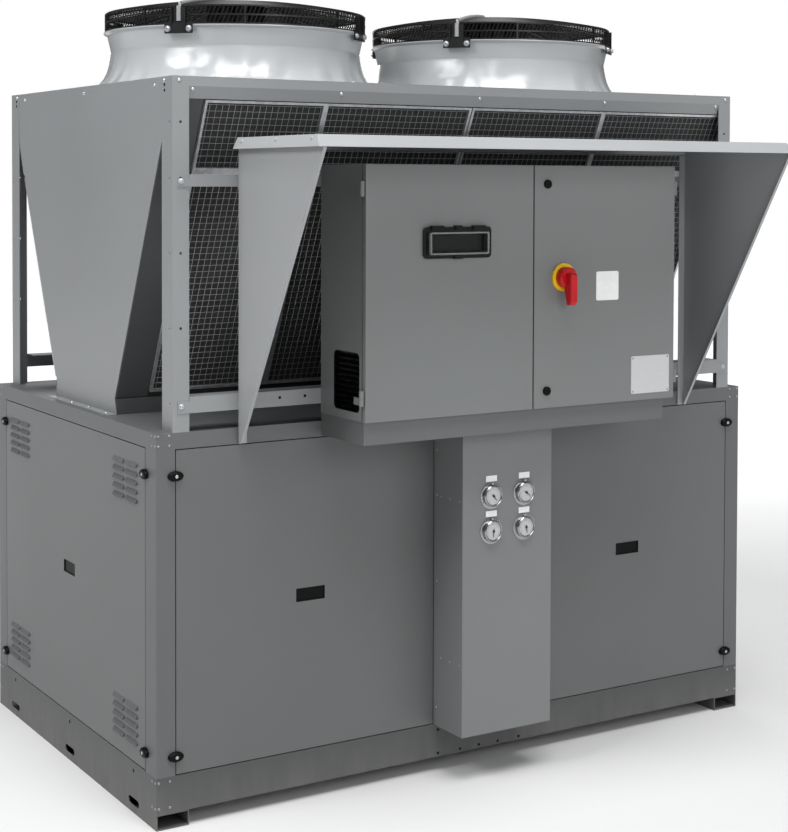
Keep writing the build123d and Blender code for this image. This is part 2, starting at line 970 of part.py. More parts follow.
def mounting_plate():
    inner = sheet + plate_stand
    y = -box_back - inner
    half = box_half - plate_margin
    plate = between(-half, half, y, y - sheet, box_bottom + plate_margin, box_top - plate_margin)
    for x in (-box_half + 2 * plate_margin, box_half - 2 * plate_margin):
        for z in (box_bottom + 2 * plate_margin, box_top - 2 * plate_margin):
            stud = Cylinder(plate_stud, plate_stand, align=(middle, middle, top))
            plate += Pos(x, y, z) * Rot(90, 0, 0) * stud
    return plate


def box_plinth():
    """Open-bottomed tray that carries the box on the cabinet's front rail."""
    outer = between(-plinth_left, plinth_right, front, -plinth_front, plinth_bottom, box_bottom)
    x0, x1 = -plinth_left + sheet, plinth_right - sheet
    inner = between(x0, x1, front - sheet, -plinth_front + sheet, plinth_bottom - 1, box_bottom - sheet)
    return outer - inner


def hinge_axis(way):
    return way * (box_half + hinge_out), -(box_front + door_gap + door_depth / 2)


def hinge_fixed(way, up):
    """Box side of a hinge: leaf, lower barrel and the pin that stands up through the door's barrel."""
    x, y = hinge_axis(way)
    low, high = up - hinge_half, up - hinge_split
    edge = -box_front - hinge_split
    rear = -box_front + hinge_leaf_back
    leaf = between(way * box_half, way * (box_half + hinge_leaf), edge, rear, low, high)
    barrel = Pos(x, y, low) * Cylinder(hinge_barrel, high - low, align=(middle, middle, bottom))
    pin = Pos(x, y, low) * Cylinder(hinge_pin, 2 * (high - low), align=(middle, middle, bottom))
    web = between(way * (box_half + hinge_split / 2), x, edge, y, low, high)
    return leaf + barrel + pin + web


def hinge_moving(way, up):
    """Door side of a hinge: barrel round the pin and a leaf on the door's edge."""
    x, y = hinge_axis(way)
    barrel = Pos(x, y, up) * Cylinder(hinge_barrel, hinge_half, align=(middle, middle, bottom))
    leaf = between(way * box_half, x, y - hinge_web, y + hinge_web, up, up + hinge_half)
    bore = Pos(x, y, up) * Cylinder(hinge_pin + hinge_play, 3 * hinge_half)
    return barrel + leaf - bore


def door(x0, x1):
    """Door pan: skin, folded edges and a stiffening return."""
    y0 = -box_front - door_gap
    outer = between(x0, x1, y0, y0 - door_depth, box_bottom, box_top)
    skin = y0 - door_depth + sheet
    inner = between(x0 + sheet, x1 - sheet, y0 + 1, skin, box_bottom + sheet, box_top - sheet)
    return outer - inner


door_face = -(box_front + door_gap + door_depth)


def door_left():
    body = door(-box_half, door_split - door_gap / 2)
    opening = Pos(window_x, door_face, window_z) * Box(window_open_width, 6 * sheet, window_open_height)
    body -= opening
    for up in (hinge_low, hinge_high):
        body += hinge_moving(-1, up)
    return body


def door_right():
    body = door(door_split + door_gap / 2, box_half)
    for up in (hinge_low, hinge_high):
        body += hinge_moving(1, up)
    return body


def on_door(x, z):
    """Working plane on the outer face of the doors."""
    return Plane((x, door_face, z), x_dir=(1, 0, 0), z_dir=(0, -1, 0))


def door_lock():
    body = Cylinder(lock_radius, lock_proud, align=(middle, middle, bottom))
    body = chamfer(body.edges().group_by(Axis.Z)[-1], lock_edge)
    slot = Pos(0, 0, lock_proud) * Box(key_length, key_width, 2 * key_depth)
    return body - slot


# Display window on the left door, isolator switch on the right door.

def window_frame():
    """Moulded frame with lugs above and below, round an opening to the display."""
    less_wide, less_high, step = window_step
    body = extrude(RectangleRounded(window_width, window_height, window_corner), window_proud - step)
    corner = window_corner - window_rebate
    raised = RectangleRounded(window_width - less_wide, window_height - less_high, corner)
    body += extrude(raised, window_proud)
    body -= Box(window_open_width - window_rebate, window_open_height - window_rebate, 4 * window_proud)
    for x in (-window_width / 2 + lug_in, 0, window_width / 2 - lug_in):
        wide = lug_wide if x else lug_narrow
        lug = Box(wide, lug_height, window_proud + lug_proud, align=(middle, middle, bottom))
        body += Pos(x, window_height / 2 - 2, 0) * lug
    catch = Box(catch_width, catch_height, window_proud + lug_proud - 1, align=(middle, middle, bottom))
    return body + Pos(0, -window_height / 2 + 3, 0) * catch


def window_cover():
    """Clear hinged cover, a shallow pan over the frame's opening."""
    inner_width = cover_width - 2 * cover_wall
    inner_height = cover_height - 2 * cover_wall
    outer = extrude(RectangleRounded(cover_width, cover_height, cover_corner), cover_proud)
    hollow = RectangleRounded(inner_width, inner_height, cover_corner - cover_wall)
    return Pos(0, -cover_down, window_proud) * (outer - extrude(hollow, cover_proud - cover_wall))


def display_unit():
    """Display case behind the window."""
    width = window_open_width - display_play
    height = window_open_height - display_play
    border_x, border_y = display_border
    body = Box(width, height, display_depth, align=(middle, middle, top))
    face = Box(window_open_width - border_x, window_open_height - border_y, 2 * display_inset)
    lip_width = window_open_width + display_lip
    lip_height = window_open_height + display_lip
    lip = Box(lip_width, lip_height, sheet, align=(middle, middle, top))
    return body - face + Pos(0, 0, -sheet) * lip


def isolator_plate():
    return Cylinder(isolator_plate_radius, isolator_plate_thick, align=(middle, middle, bottom))


def isolator_handle():
    """Pistol-grip handle: a round knob with a grip that hangs from it."""
    knob = Cylinder(isolator_knob, isolator_knob_proud, align=(middle, middle, bottom))
    knob = chamfer(knob.edges().group_by(Axis.Z)[-1], knob_edge)
    side = Plane.YZ.offset(-grip_width / 2)
    profile = make_face(
        Polyline(
            (isolator_knob / 2, grip_root),
            (isolator_knob / 3, grip_proud),
            (-grip_length + grip_slope, grip_proud),
            (-grip_length, grip_proud - grip_slope),
            (-grip_length, grip_proud - grip_nose),
            (-isolator_knob, grip_root),
            close=True,
        )
    )
    grip = extrude(side * profile, grip_width)
    grip = fillet(grip.edges().filter_by(GeomType.LINE), grip_round)
    return Pos(0, 0, isolator_plate_thick + knob_gap) * (knob + grip)


# Hood: hipped roof sheet with sloping lips, and triangular cheeks down to the cabinet.

def hood_roof():
    back = box_back
    low = hood_top - hood_lip_drop

    def shell(inset, drop):
        flat = hood_half + 2 * sheet - inset
        wide = flat + hood_side_out
        rear, edge, lip = -back - inset, -hood_front + inset, -hood_reach + inset
        top_face = outline((-flat, rear), (flat, rear), (flat, edge), (-flat, edge))
        low_face = outline((-wide, rear), (wide, rear), (wide, lip), (-wide, lip))
        return loft([Plane.XY.offset(low - drop) * low_face, Plane.XY.offset(hood_top - drop) * top_face])

    return shell(0, 0) - shell(sheet, sheet)


def hood_cheek():
    """Left cheek: triangular sheet with a flange to the frame and a folded slanted edge."""
    x = -hood_half
    high = hood_top - sheet
    low = hood_top - hood_lip_drop
    back = -box_back
    tip = (-hood_reach + cheek_gap, low)
    face = outline(
        (back - sheet, high),
        (back - sheet, low),
        (back, low),
        (back, hood_foot),
        (back - cheek_nose, hood_foot),
        tip,
        (-hood_front + cheek_gap, high),
    )
    cheek = along_x(face, x, x + sheet)
    cheek += between(x, x + cheek_flange, back, back - sheet, hood_foot, low - 2)
    run = Vector(0, tip[0] - back + cheek_nose, tip[1] - hood_foot)
    strip = Plane(
        (x, back - cheek_nose, hood_foot),
        x_dir=(1, 0, 0),
        z_dir=(0, -run.Z, run.Y),
    )
    edge = strip * between(0, cheek_edge, 2, run.length - 2, -sheet, 0)
    return cheek + edge


def build():
    os.makedirs("parts", exist_ok=True)
    save("base_skids", *both_ends(base_skid()))
    save("base_beams", *both_faces(base_beam()))
    save("base_floor", base_floor())

    post = corner_post()
    save("corner_posts", *both_ends(post), *[mirror(p, Plane.XZ) for p in both_ends(post)])
    save("top_rails", *both_faces(long_top_rail()), *both_ends(end_top_rail()))
    save("mullions", *both_faces(mullion()))
    save("cabinet_lid", lid())

    planes = panel_places()
    save("front_panel_left", planes[0] * pan(front_pan_width, pan_height))
    save("front_panel_right", planes[1] * pan(front_pan_width, pan_height))
    save("side_panel_left", planes[2] * louvred_pan(end_pan_width, pan_height))
    save("side_panel_right", planes[3] * louvred_pan(end_pan_width, pan_height))
    save("back_panels", *[plane * pan(front_pan_width, pan_height) for plane in planes[4:]])
    save("panel_handles", *[plane * handle_cup() for plane in planes])
    save("panel_latches", *[plane * latch() for plane in latch_places()])

    save("gauge_duct", gauge_duct())
    save("gauge_bodies", *[plane * gauge_body() for plane in gauge_places()])
    save("gauge_dials", *[plane * gauge_dial() for plane in gauge_places()])
    save("gauge_labels", *[plane * gauge_label() for plane in gauge_places()])

    upper = frame_post()
    save("frame_posts", *both_ends(upper), *[mirror(p, Plane.XZ) for p in both_ends(upper)])
    rails = [cross_rail(low_rail, low_rail_height), cross_rail(mid_rail, mid_rail_height)]
    save("cross_rails", *[half for rail in rails for half in both_faces(rail)])
    save("top_beams", *both_faces(top_beam()))
    save("end_plates", *both_ends(end_plate()))
    save("coil_front", coil())
    save("coil_back", mirror(coil(), Plane.XZ))
    save("coil_end_sheets", *turned_round(coil_end_sheet()))
    save("guard_frames", *[half for frame in guard_frame() for half in turned_round(frame)])
    save("drain_tray", drain_tray())

    save("fan_deck", fan_deck())
    fans = [Pos(way * fan_out, 0, 0) for way in (-1, 1)]
    save("fan_shrouds", *[place * shroud() for place in fans])
    save("fan_guards", *[place * fan_guard() for place in fans])
    save("fan_motors", *[place * fan_motor() for place in fans])
    rotor = fan_rotor()
    save("fan_rotor_left", fans[0] * rotor)
    save("fan_rotor_right", fans[1] * rotor)

    save("box_shell", box_shell())
    save("box_plinth", box_plinth())
    save("box_vents", *[vent_place(way) * box_vent() for way in (-1, 1)])
    save("mounting_plate", mounting_plate())
    save("hinge_pins", *[hinge_fixed(way, up) for way in (-1, 1) for up in (hinge_low, hinge_high)])
    save("door_left", door_left())
    save("door_right", door_right())
    save("door_locks", *[on_door(door_split + lock_in, up) * door_lock() for up in (lock_low, lock_high)])
    save("window_frame", on_door(window_x, window_z) * window_frame())
    save("window_cover", on_door(window_x, window_z) * window_cover())
    save("display_unit", on_door(window_x, window_z) * display_unit())
    save("isolator_plate", on_door(isolator_x, isolator_z) * isolator_plate())
    save("isolator_handle", on_door(isolator_x, isolator_z) * isolator_handle())

    save("hood_roof", hood_roof())
    save("hood_cheeks", *both_ends(hood_cheek()))


build()
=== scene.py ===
import math
from functools import partial

import bmesh
import bpy
from mathutils import Matrix, Vector


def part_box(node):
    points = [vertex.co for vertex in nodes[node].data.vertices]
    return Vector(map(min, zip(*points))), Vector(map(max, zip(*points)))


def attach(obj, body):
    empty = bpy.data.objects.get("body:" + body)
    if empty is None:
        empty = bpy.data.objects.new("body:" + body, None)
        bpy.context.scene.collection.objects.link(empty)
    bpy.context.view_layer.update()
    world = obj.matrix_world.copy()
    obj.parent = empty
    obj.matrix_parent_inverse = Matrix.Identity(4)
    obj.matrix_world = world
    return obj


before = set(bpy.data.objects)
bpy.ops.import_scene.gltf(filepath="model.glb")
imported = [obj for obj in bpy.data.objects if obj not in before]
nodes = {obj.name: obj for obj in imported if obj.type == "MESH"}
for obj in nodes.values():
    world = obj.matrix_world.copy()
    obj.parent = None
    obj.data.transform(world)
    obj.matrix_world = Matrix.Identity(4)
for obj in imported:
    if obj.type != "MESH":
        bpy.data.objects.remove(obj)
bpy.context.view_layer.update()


# Cabinet sheet: posts, rails, panels, lid, skids and duct are folded from 2 and 3 mm steel and powder
# coated a satin mid-dark grey. Dust settles on the lowest 160 mm. Each part is a welded or riveted pan.
class Signal:
    """One value inside a finish. Arithmetic on it adds Math nodes."""

    def __init__(self, finish, socket):
        self.finish = finish
        self.socket = socket

    def math(self, operation, first, second=0.0):
        return self.finish.node("Math", {"operation": operation}, {0: first, 1: second})

    def __add__(self, other):
        return self.math("ADD", self, other)

    def __sub__(self, other):
        return self.math("SUBTRACT", self, other)

    def __rsub__(self, other):
        return self.math("SUBTRACT", other, self)

    def __mul__(self, other):
        return self.math("MULTIPLY", self, other)

    def __truediv__(self, other):
        return self.math("DIVIDE", self, other)

    def __gt__(self, other):
        return self.math("GREATER_THAN", self, other)

    def __lt__(self, other):
        return self.math("LESS_THAN", self, other)

    def __abs__(self):
        return self.math("ABSOLUTE", self)

    __radd__ = __add__
    __rmul__ = __mul__

    def limited(self):
        return self.finish.node("Clamp", {}, {0: self})

    def fraction(self):
        return self.math("FRACT", self)

    def whole(self):
        return self.math("FLOOR", self)


class Finish:
    """A finish of the unit, built node by node round one Principled shader."""

    def __init__(self, name, **surface):
        self.material = bpy.data.materials.new(name)
        self.material.use_nodes = True
        self.tree = self.material.node_tree
        self.tree.nodes.clear()
        self.shader = self.tree.nodes.new("ShaderNodeBsdfPrincipled")
        out = self.tree.nodes.new("ShaderNodeOutputMaterial")
        self.tree.links.new(self.shader.outputs[0], out.inputs[0])
        self.place = self.node("TexCoord", output="Object")
        self.paint(**surface)

    def node(self, kind, settings=None, inputs=None, output=0):
        made = self.tree.nodes.new("ShaderNode" + kind)
        for key, value in (settings or {}).items():
            setattr(made, key, value)
        for key, value in (inputs or {}).items():
            if isinstance(value, Signal):
                self.tree.links.new(value.socket, made.inputs[key])
            else:
                made.inputs[key].default_value = value
        return Signal(self, made.outputs[output])

    def paint(self, **surface):
        for key, value in surface.items():
            socket = self.shader.inputs[key.replace("_", " ")]
            if isinstance(value, Signal):
                self.tree.links.new(value.socket, socket)
            else:
                socket.default_value = value

    def noise(self, scale, detail=2.0, stretch=None):
        at = self.place
        if stretch:
            at = self.node("Mapping", {}, {"Vector": at, "Scale": stretch})
        return self.node("TexNoise", {}, {"Vector": at, "Scale": scale, "Detail": detail})

    def along(self, axis):
        return self.node("SeparateXYZ", {}, {0: self.place}, output=axis)

    def shade(self, factor, low, high):
        """Colour between two tints, by a factor from 0 to 1."""
        return self.node(
            "Mix", {"data_type": "RGBA"}, {0: factor, 6: (*low, 1.0), 7: (*high, 1.0)}, output=2
        )

    def relief(self, height, strength, depth):
        self.paint(Normal=self.node("Bump", {}, {"Height": height, "Strength": strength, "Distance": depth}))


def tint(colour, times):
    return tuple(min(1.0, part * times) for part in colour)


def powder_coat(name, colour, gloss=0.42, dusty=0.0):
    coat = Finish(name, Metallic=0.0)
    cloud = coat.noise(1.7, 3.0)
    speck = coat.noise(900.0, 1.0)
    peel = coat.noise(420.0, 2.0)
    tone = (cloud * 0.75 + speck * 0.35).limited()
    shade = coat.shade(tone, tint(colour, 0.86), tint(colour, 1.13))
    if dusty:
        low = (1.0 - coat.along("Z") / 0.16).limited()
        streak = coat.noise(26.0, 4.0, (1.0, 1.0, 0.25))
        dust = (low * streak * dusty * 1.6).limited()
        shade = coat.node(
            "Mix", {"data_type": "RGBA"}, {0: dust, 6: shade, 7: (0.36, 0.34, 0.31, 1.0)}, output=2
        )
    coat.paint(Base_Color=shade, Roughness=gloss - 0.06 + 0.14 * cloud)
    coat.relief(peel, 0.10, 0.0006)
    return coat


def dress(finish, *names):
    for name in names:
        mesh = nodes[name].data
        mesh.materials.clear()
        mesh.materials.append(finish.material)


base_coat = powder_coat("base coat", (0.062, 0.065, 0.066), dusty=0.2)
dress(base_coat, "base_skids", "base_beams")
cabinet_coat = powder_coat("cabinet coat", (0.104, 0.108, 0.110), dusty=0.18)
dress(cabinet_coat, "corner_posts", "top_rails", "mullions", "cabinet_lid")
panel_coat = powder_coat("panel coat", (0.112, 0.117, 0.118), gloss=0.40, dusty=0.15)
dress(panel_coat, "front_panel_left", "front_panel_right", "back_panels")
dress(panel_coat, "side_panel_left", "side_panel_right")
duct_coat = powder_coat("duct coat", (0.172, 0.178, 0.180), dusty=0.15)
dress(duct_coat, "gauge_duct")


# Floor sheet inside the base: bare galvanised steel with its zinc spangle, laid on the skids. The same
# sheet makes the back plate behind the doors.
def zinc(name, colour=(0.50, 0.51, 0.52)):
    coat = Finish(name, Metallic=0.85)
    flake = coat.node("TexVoronoi", {}, {"Vector": coat.place, "Scale": 85.0}, output="Color")
    flake = coat.node("SeparateColor", {}, {0: flake})
    tone = (flake * 0.6 + coat.noise(9.0) * 0.5).limited()
    coat.paint(Base_Color=coat.shade(tone, tint(colour, 0.72), tint(colour, 1.18)))
    coat.paint(Roughness=0.34 + 0.18 * flake)
    coat.relief(coat.noise(300.0), 0.08, 0.0004)
    return coat


floor_zinc = zinc("galvanised sheet")
dress(floor_zinc, "base_floor", "mounting_plate")


# Blind rivets of the corner posts: aluminium, 8.5 mm domed heads with the pulled pin's pit, four at the
# head and four at the foot of each face. The screws and bolts further down are set by the same tree.
front_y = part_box("corner_posts")[0].y
back_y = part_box("corner_posts")[1].y
end_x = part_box("corner_posts")[1].x


def turned(name, profile, sides):
    """Mesh of a profile of radius and height turned round Z, with its poles closed."""
    shape = bmesh.new()
    rings = []
    for radius, height in profile:
        if radius == 0:
            rings.append([shape.verts.new((0, 0, height))])
            continue
        turns = [2 * math.pi * step / sides for step in range(sides)]
        rings.append([shape.verts.new((radius * math.cos(t), radius * math.sin(t), height)) for t in turns])
    for low, high in zip(rings, rings[1:]):
        for step in range(sides):
            after = (step + 1) % sides
            if len(low) == 1:
                shape.faces.new((low[0], high[after], high[step]))
            elif len(high) == 1:
                shape.faces.new((low[step], low[after], high[0]))
            else:
                shape.faces.new((low[step], low[after], high[after], high[step]))
    bmesh.ops.recalc_face_normals(shape, faces=shape.faces[:])
    mesh = bpy.data.meshes.new(name)
    shape.to_mesh(mesh)
    shape.free()
    return mesh


def open_tree(name, result, **sockets):
    """Begins a tree with named inputs and one result. Gives the tree and its inputs."""
    tree = bpy.data.node_groups.new(name, "GeometryNodeTree")
    for label, kind in sockets.items():
        tree.interface.new_socket(label, in_out="INPUT", socket_type="NodeSocket" + kind)
    tree.interface.new_socket(result, in_out="OUTPUT", socket_type="NodeSocketGeometry")
    return tree, tree.nodes.new("NodeGroupInput")


def fixing_tree():
    """Sets a head on every point, its axis along the point's facing."""
    tree, given = open_tree(
        "fixings", "Heads", Points="Geometry", Head="Object", Across="Float", Proud="Float", Finish="Material"
    )
    new, link = tree.nodes.new, tree.links.new
    head = new("GeometryNodeObjectInfo")
    link(given.outputs["Head"], head.inputs["Object"])
    facing = new("GeometryNodeInputNamedAttribute")
    facing.data_type = "FLOAT_VECTOR"
    facing.inputs["Name"].default_value = "facing"
    turn = new("FunctionNodeAlignRotationToVector")
    turn.axis = "Z"
    link(facing.outputs[0], turn.inputs["Vector"])
    size = new("ShaderNodeCombineXYZ")
    link(given.outputs["Across"], size.inputs[0])
    link(given.outputs["Across"], size.inputs[1])
    link(given.outputs["Proud"], size.inputs[2])
    setter = new("GeometryNodeInstanceOnPoints")
    link(given.outputs["Points"], setter.inputs["Points"])
    link(head.outputs["Geometry"], setter.inputs["Instance"])
    link(turn.outputs[0], setter.inputs["Rotation"])
    link(size.outputs[0], setter.inputs["Scale"])
    close_tree(tree, setter.outputs[0], given.outputs["Finish"])
    return tree


def close_tree(tree, shape, finish):
    """Ends a tree: instances made real, finish set, result out."""
    real = tree.nodes.new("GeometryNodeRealizeInstances")
    tree.links.new(shape, real.inputs[0])
    painted = tree.nodes.new("GeometryNodeSetMaterial")
    tree.links.new(real.outputs[0], painted.inputs["Geometry"])
    tree.links.new(finish, painted.inputs["Material"])
    out = tree.nodes.new("NodeGroupOutput")
    tree.links.new(painted.outputs[0], out.inputs[0])


def grown(name, rough, tree, values, body, place=None, crease=38.0):
    """Plain mesh piece from a rough object and a tree, put in place and hung on a body."""
    bpy.context.scene.collection.objects.link(rough)
    modifier = rough.modifiers.new("tree", "NODES")
    modifier.node_group = tree
    ids = {item.name: item.identifier for item in tree.interface.items_tree if item.in_out == "INPUT"}
    for key, value in values.items():
        modifier[ids[key]] = value
    seen = rough.evaluated_get(bpy.context.evaluated_depsgraph_get())
    mesh = bpy.data.meshes.new_from_object(seen)
    rough.modifiers.clear()
    bpy.data.objects.remove(rough)
    if place is not None:
        mesh.transform(place)
    return finished(name, mesh, body, crease)


def finished(name, mesh, body, crease=38.0):
    """Smooth shading with sharp creases, a real name and a body to ride on."""
    mesh.name = name
    mesh.shade_smooth()
    mesh.set_sharp_from_angle(angle=math.radians(crease))
    piece = bpy.data.objects.new(name, mesh)
    bpy.context.scene.collection.objects.link(piece)
    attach(piece, body)
    return piece


def points(places):
    """Rough object with one point for each (place, facing)."""
    mesh = bpy.data.meshes.new("points")
    mesh.from_pydata([place for place, _ in places], [], [])
    way = mesh.attributes.new("facing", "FLOAT_VECTOR", "POINT")
    for i, (_, facing) in enumerate(places):
        way.data[i].vector = Vector(facing).normalized()
    return bpy.data.objects.new("points", mesh)


def head_shape(name, profile, sides):
    return bpy.data.objects.new(name, turned(name, profile, sides))


def bright_metal(name, colour, rough=0.3, grain=60.0):
    metal = Finish(name, Metallic=1.0)
    cloud = metal.noise(grain, 3.0)
    metal.paint(Base_Color=metal.shade(cloud, tint(colour, 0.75), tint(colour, 1.15)))
    metal.paint(Roughness=rough + 0.2 * cloud)
    metal.relief(metal.noise(1500.0), 0.15, 0.0002)
    return metal


fixings = fixing_tree()


def fasten(name, places, head, across, proud, finish, body="unit"):
    """One piece with a head of the given width and height on every (place, facing)."""
    values = {"Head": head, "Across": across, "Proud": proud, "Finish": finish.material}
    grown(name, points(places), fixings, values, body)


rivet_head = head_shape(
    "rivet head",
    [(0.5, 0), (0.5, 0.25), (0.42, 0.7), (0.3, 0.95), (0.17, 1), (0.14, 0.6), (0, 0.55)],
    12,
)
aluminium = bright_metal("rivet aluminium", (0.36, 0.365, 0.37), 0.36)
rivet_heights = (1.122, 1.094, 0.136, 0.062)
front_insets = (0.007, 0.041)
end_insets = (0.008, 0.030)
rivets = []
for side_x in (-1, 1):
    for side_y, face in ((front_y, -1), (back_y, 1)):
        for z in rivet_heights:
            rivets += [((side_x * (end_x - inset), side_y, z), (0, face, 0)) for inset in front_insets]
            rivets += [((side_x * end_x, side_y - face * inset, z), (side_x, 0, 0)) for inset in end_insets]
fasten("corner_rivets", rivets, rivet_head, 0.0085, 0.0022, aluminium)


# Punched holes seen as dark rounds: the base beam's fixing holes by the duct's foot, the low rails' spare
# holes and pairs at the heads of the frame posts. Each is a shallow black disc with a rolled edge: painted
# shade for the dark inside of the hole.
hole_shade_disc_shape = head_shape("plug", [(0.5, 0), (0.46, 0.8), (0.36, 1), (0.3, 0.35), (0, 0.25)], 12)


def moulded(name, colour, rough=0.45, grain=500.0):
    plastic = Finish(name, Metallic=0.0, Specular_IOR_Level=0.35)
    cloud = plastic.noise(14.0, 3.0)
    plastic.paint(Base_Color=plastic.shade(cloud, tint(colour, 0.8), tint(colour, 1.25)))
    plastic.paint(Roughness=rough - 0.05 + 0.12 * cloud)
    plastic.relief(plastic.noise(grain, 2.0), 0.12, 0.0004)
    return plastic


black_plastic = moulded("black moulded plastic", (0.0035, 0.0035, 0.004), 0.40)
black_plastic.paint(Specular_IOR_Level=0.10)
beam_holes = [(-0.15, 0.13), (-0.15, 0.056), (-0.067, 0.055), (0.005, 0.056), (0.078, 0.055), (0.16, 0.056)]
hole_shade_spots = [((x, front_y, z), (0, -1, 0)) for x, z in beam_holes]
front_rail_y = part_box("cross_rails")[0].y
back_rail_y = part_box("cross_rails")[1].y
rail_hole_z = 1.209
for side_x in (-1, 1):
    for x in (0.626, 0.71):
        hole_shade_spots.append(((side_x * x, front_rail_y, rail_hole_z), (0, -1, 0)))
        hole_shade_spots.append(((side_x * x, back_rail_y, rail_hole_z), (0, 1, 0)))
frame_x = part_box("frame_posts")[1].x
post_hole_rows = (-0.3775, 0.8885)
post_hole_heights = (2.100, 2.116)
for side_x in (-1, 1):
    for y in post_hole_rows:
        hole_shade_spots += [((side_x * frame_x, y, z), (side_x, 0, 0)) for z in post_hole_heights]
# Black discs over the holes: painted shade standing for the dark inside of each hole.
fasten("hole_plugs", hole_shade_spots, hole_shade_disc_shape, 0.009, 0.0015, black_plastic)


# Access panels' fittings: black moulded handle cups clipped into the skins, and oval quarter-turn latches
# with a steel pin in the middle of each, turned with a key.
dress(black_plastic, "panel_handles", "panel_latches", "door_locks", "box_vents")
bezel = moulded("polished black frame", (0.004, 0.004, 0.0045), 0.20)
bezel.paint(Coat_Weight=0.6, Coat_Roughness=0.06)
dress(bezel, "window_frame")
pin_shape = head_shape("latch pin", [(0.5, -1), (0.5, 0.7), (0.4, 1), (0.24, 1), (0.2, 0.3), (0, 0.3)], 12)
latch_low, latch_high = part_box("panel_latches")
latch_heights = (0.205, 1.007)
latch_x = 1.042
latch_inset = 0.076
pins = []
for z in latch_heights:
    for side_x in (-1, 1):
        for y, face in ((latch_low.y, -1), (latch_high.y, 1)):
            pins.append(((side_x * latch_x, y, z), (0, face, 0)))
        for y in (front_y + latch_inset, back_y - latch_inset):
            pins.append(((side_x * latch_high.x, y, z), (side_x, 0, 0)))
pin_steel = bright_metal("pin steel", (0.55, 0.55, 0.55), 0.25)
fasten("latch_pins", pins, pin_shape, 0.010, 0.0012, pin_steel)


# Gauge duct: a folded cover down the front, screwed along its edges in threes with small screws. Four 63 mm
# gauges with polished steel flanges stand on it, each under a blank white plate.
duct_low, duct_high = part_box("gauge_duct")
duct_y = duct_low.y
screw_shape = head_shape(
    "screw head", [(0.5, 0), (0.5, 0.3), (0.4, 0.8), (0.25, 1), (0.2, 1), (0.17, 0.5), (0, 0.5)], 12
)
across_rows = (0.871, 0.368)
across_places = (-0.470, -0.520, -0.572)
edge_y = -0.446
edge_heights = (1.012, 0.873, 0.604, 0.208)
screws = []
for side_x, x in ((-1, duct_low.x), (1, duct_high.x)):
    for z in across_rows:
        screws += [((x, y, z), (side_x, 0, 0)) for y in across_places]
    screws += [((x, edge_y, z), (side_x, 0, 0)) for z in edge_heights]
screw_steel = bright_metal("small screw steel", (0.44, 0.45, 0.46), 0.30)
fasten("duct_screws", screws, screw_shape, 0.007, 0.002, screw_steel)

gauge_steel = bright_metal("polished gauge steel", (0.36, 0.365, 0.37), 0.16, 20.0)
dress(gauge_steel, "gauge_bodies")
dial = Finish("dial enamel", Metallic=0.0, Roughness=0.35, Coat_Weight=0.4)
dial_cloud = dial.noise(120.0, 2.0)
dial.paint(Base_Color=dial.shade(dial_cloud, (0.40, 0.415, 0.405), (0.49, 0.505, 0.495)))
dial.relief(dial.noise(900.0), 0.05, 0.0002)
dress(dial, "gauge_dials")
plate_white = Finish("engraved plate white", Metallic=0.0, Roughness=0.4)
plate_cloud = plate_white.noise(80.0, 3.0)
plate_white.paint(Base_Color=plate_white.shade(plate_cloud, (0.74, 0.75, 0.75), (0.90, 0.90, 0.89)))
plate_white.relief(plate_white.noise(600.0), 0.08, 0.0003)
dress(plate_white, "gauge_labels")

gauge_centres = [(x, z) for x in (-0.0615, 0.0615) for z in (0.775, 0.883)]
flange_screw_radius = 0.037
flange_thick = 0.002
flange_screws = []
for x, z in gauge_centres:
    for turn in (90, 210, 330):
        angle = math.radians(turn)
        spot_x = x + flange_screw_radius * math.cos(angle)
        spot_z = z + flange_screw_radius * math.sin(angle)
        flange_screws.append(((spot_x, duct_y - flange_thick, spot_z), (0, -1, 0)))
fasten("gauge_flange_screws", flange_screws, screw_shape, 0.0052, 0.0018, screw_steel)


def tree_maths(tree, operation, first, second):
    """Math node on two numbers or sockets of a tree. Gives its result."""
    made = tree.nodes.new("ShaderNodeMath")
    made.operation = operation
    for slot, value in ((0, first), (1, second)):
        if isinstance(value, float):
            made.inputs[slot].default_value = value
        else:
            tree.links.new(value, made.inputs[slot])
    return made.outputs[0]


def ring_of_marks_tree():
    """Flat marks round part of a circle, every fifth one longer."""
    tree, given = open_tree(
        "dial marks", "Marks", Shape="Geometry", Count="Int", Radius="Float", Mark="Float", Finish="Material"
    )
    new, link = tree.nodes.new, tree.links.new
    arc = new("GeometryNodeCurveArc")
    link(given.outputs["Count"], arc.inputs["Resolution"])
    link(given.outputs["Radius"], arc.inputs["Radius"])
    arc.inputs["Start Angle"].default_value = math.radians(-45)
    arc.inputs["Sweep Angle"].default_value = math.radians(270)
    tangent = new("GeometryNodeInputTangent")
    turn = new("FunctionNodeAlignRotationToVector")
    turn.axis = "Y"
    link(tangent.outputs[0], turn.inputs["Vector"])
    mark = new("GeometryNodeMeshGrid")
    mark.inputs["Vertices X"].default_value = 2
    mark.inputs["Vertices Y"].default_value = 2
    mark.inputs["Size Y"].default_value = 0.0007
    link(given.outputs["Mark"], mark.inputs["Size X"])
    index = new("GeometryNodeInputIndex")
    number = partial(tree_maths, tree)
    fifth = number("LESS_THAN", number("MODULO", index.outputs[0], 5.0), 0.5)
    scale = new("ShaderNodeCombineXYZ")
    link(number("ADD", fifth, 1.0), scale.inputs[0])
    scale.inputs[1].default_value = 1.0
    scale.inputs[2].default_value = 1.0
    setter = new("GeometryNodeInstanceOnPoints")
    link(arc.outputs["Curve"], setter.inputs["Points"])
    link(mark.outputs["Mesh"], setter.inputs["Instance"])
    link(turn.outputs[0], setter.inputs["Rotation"])
    link(scale.outputs[0], setter.inputs["Scale"])
    close_tree(tree, setter.outputs[0], given.outputs["Finish"])
    return tree


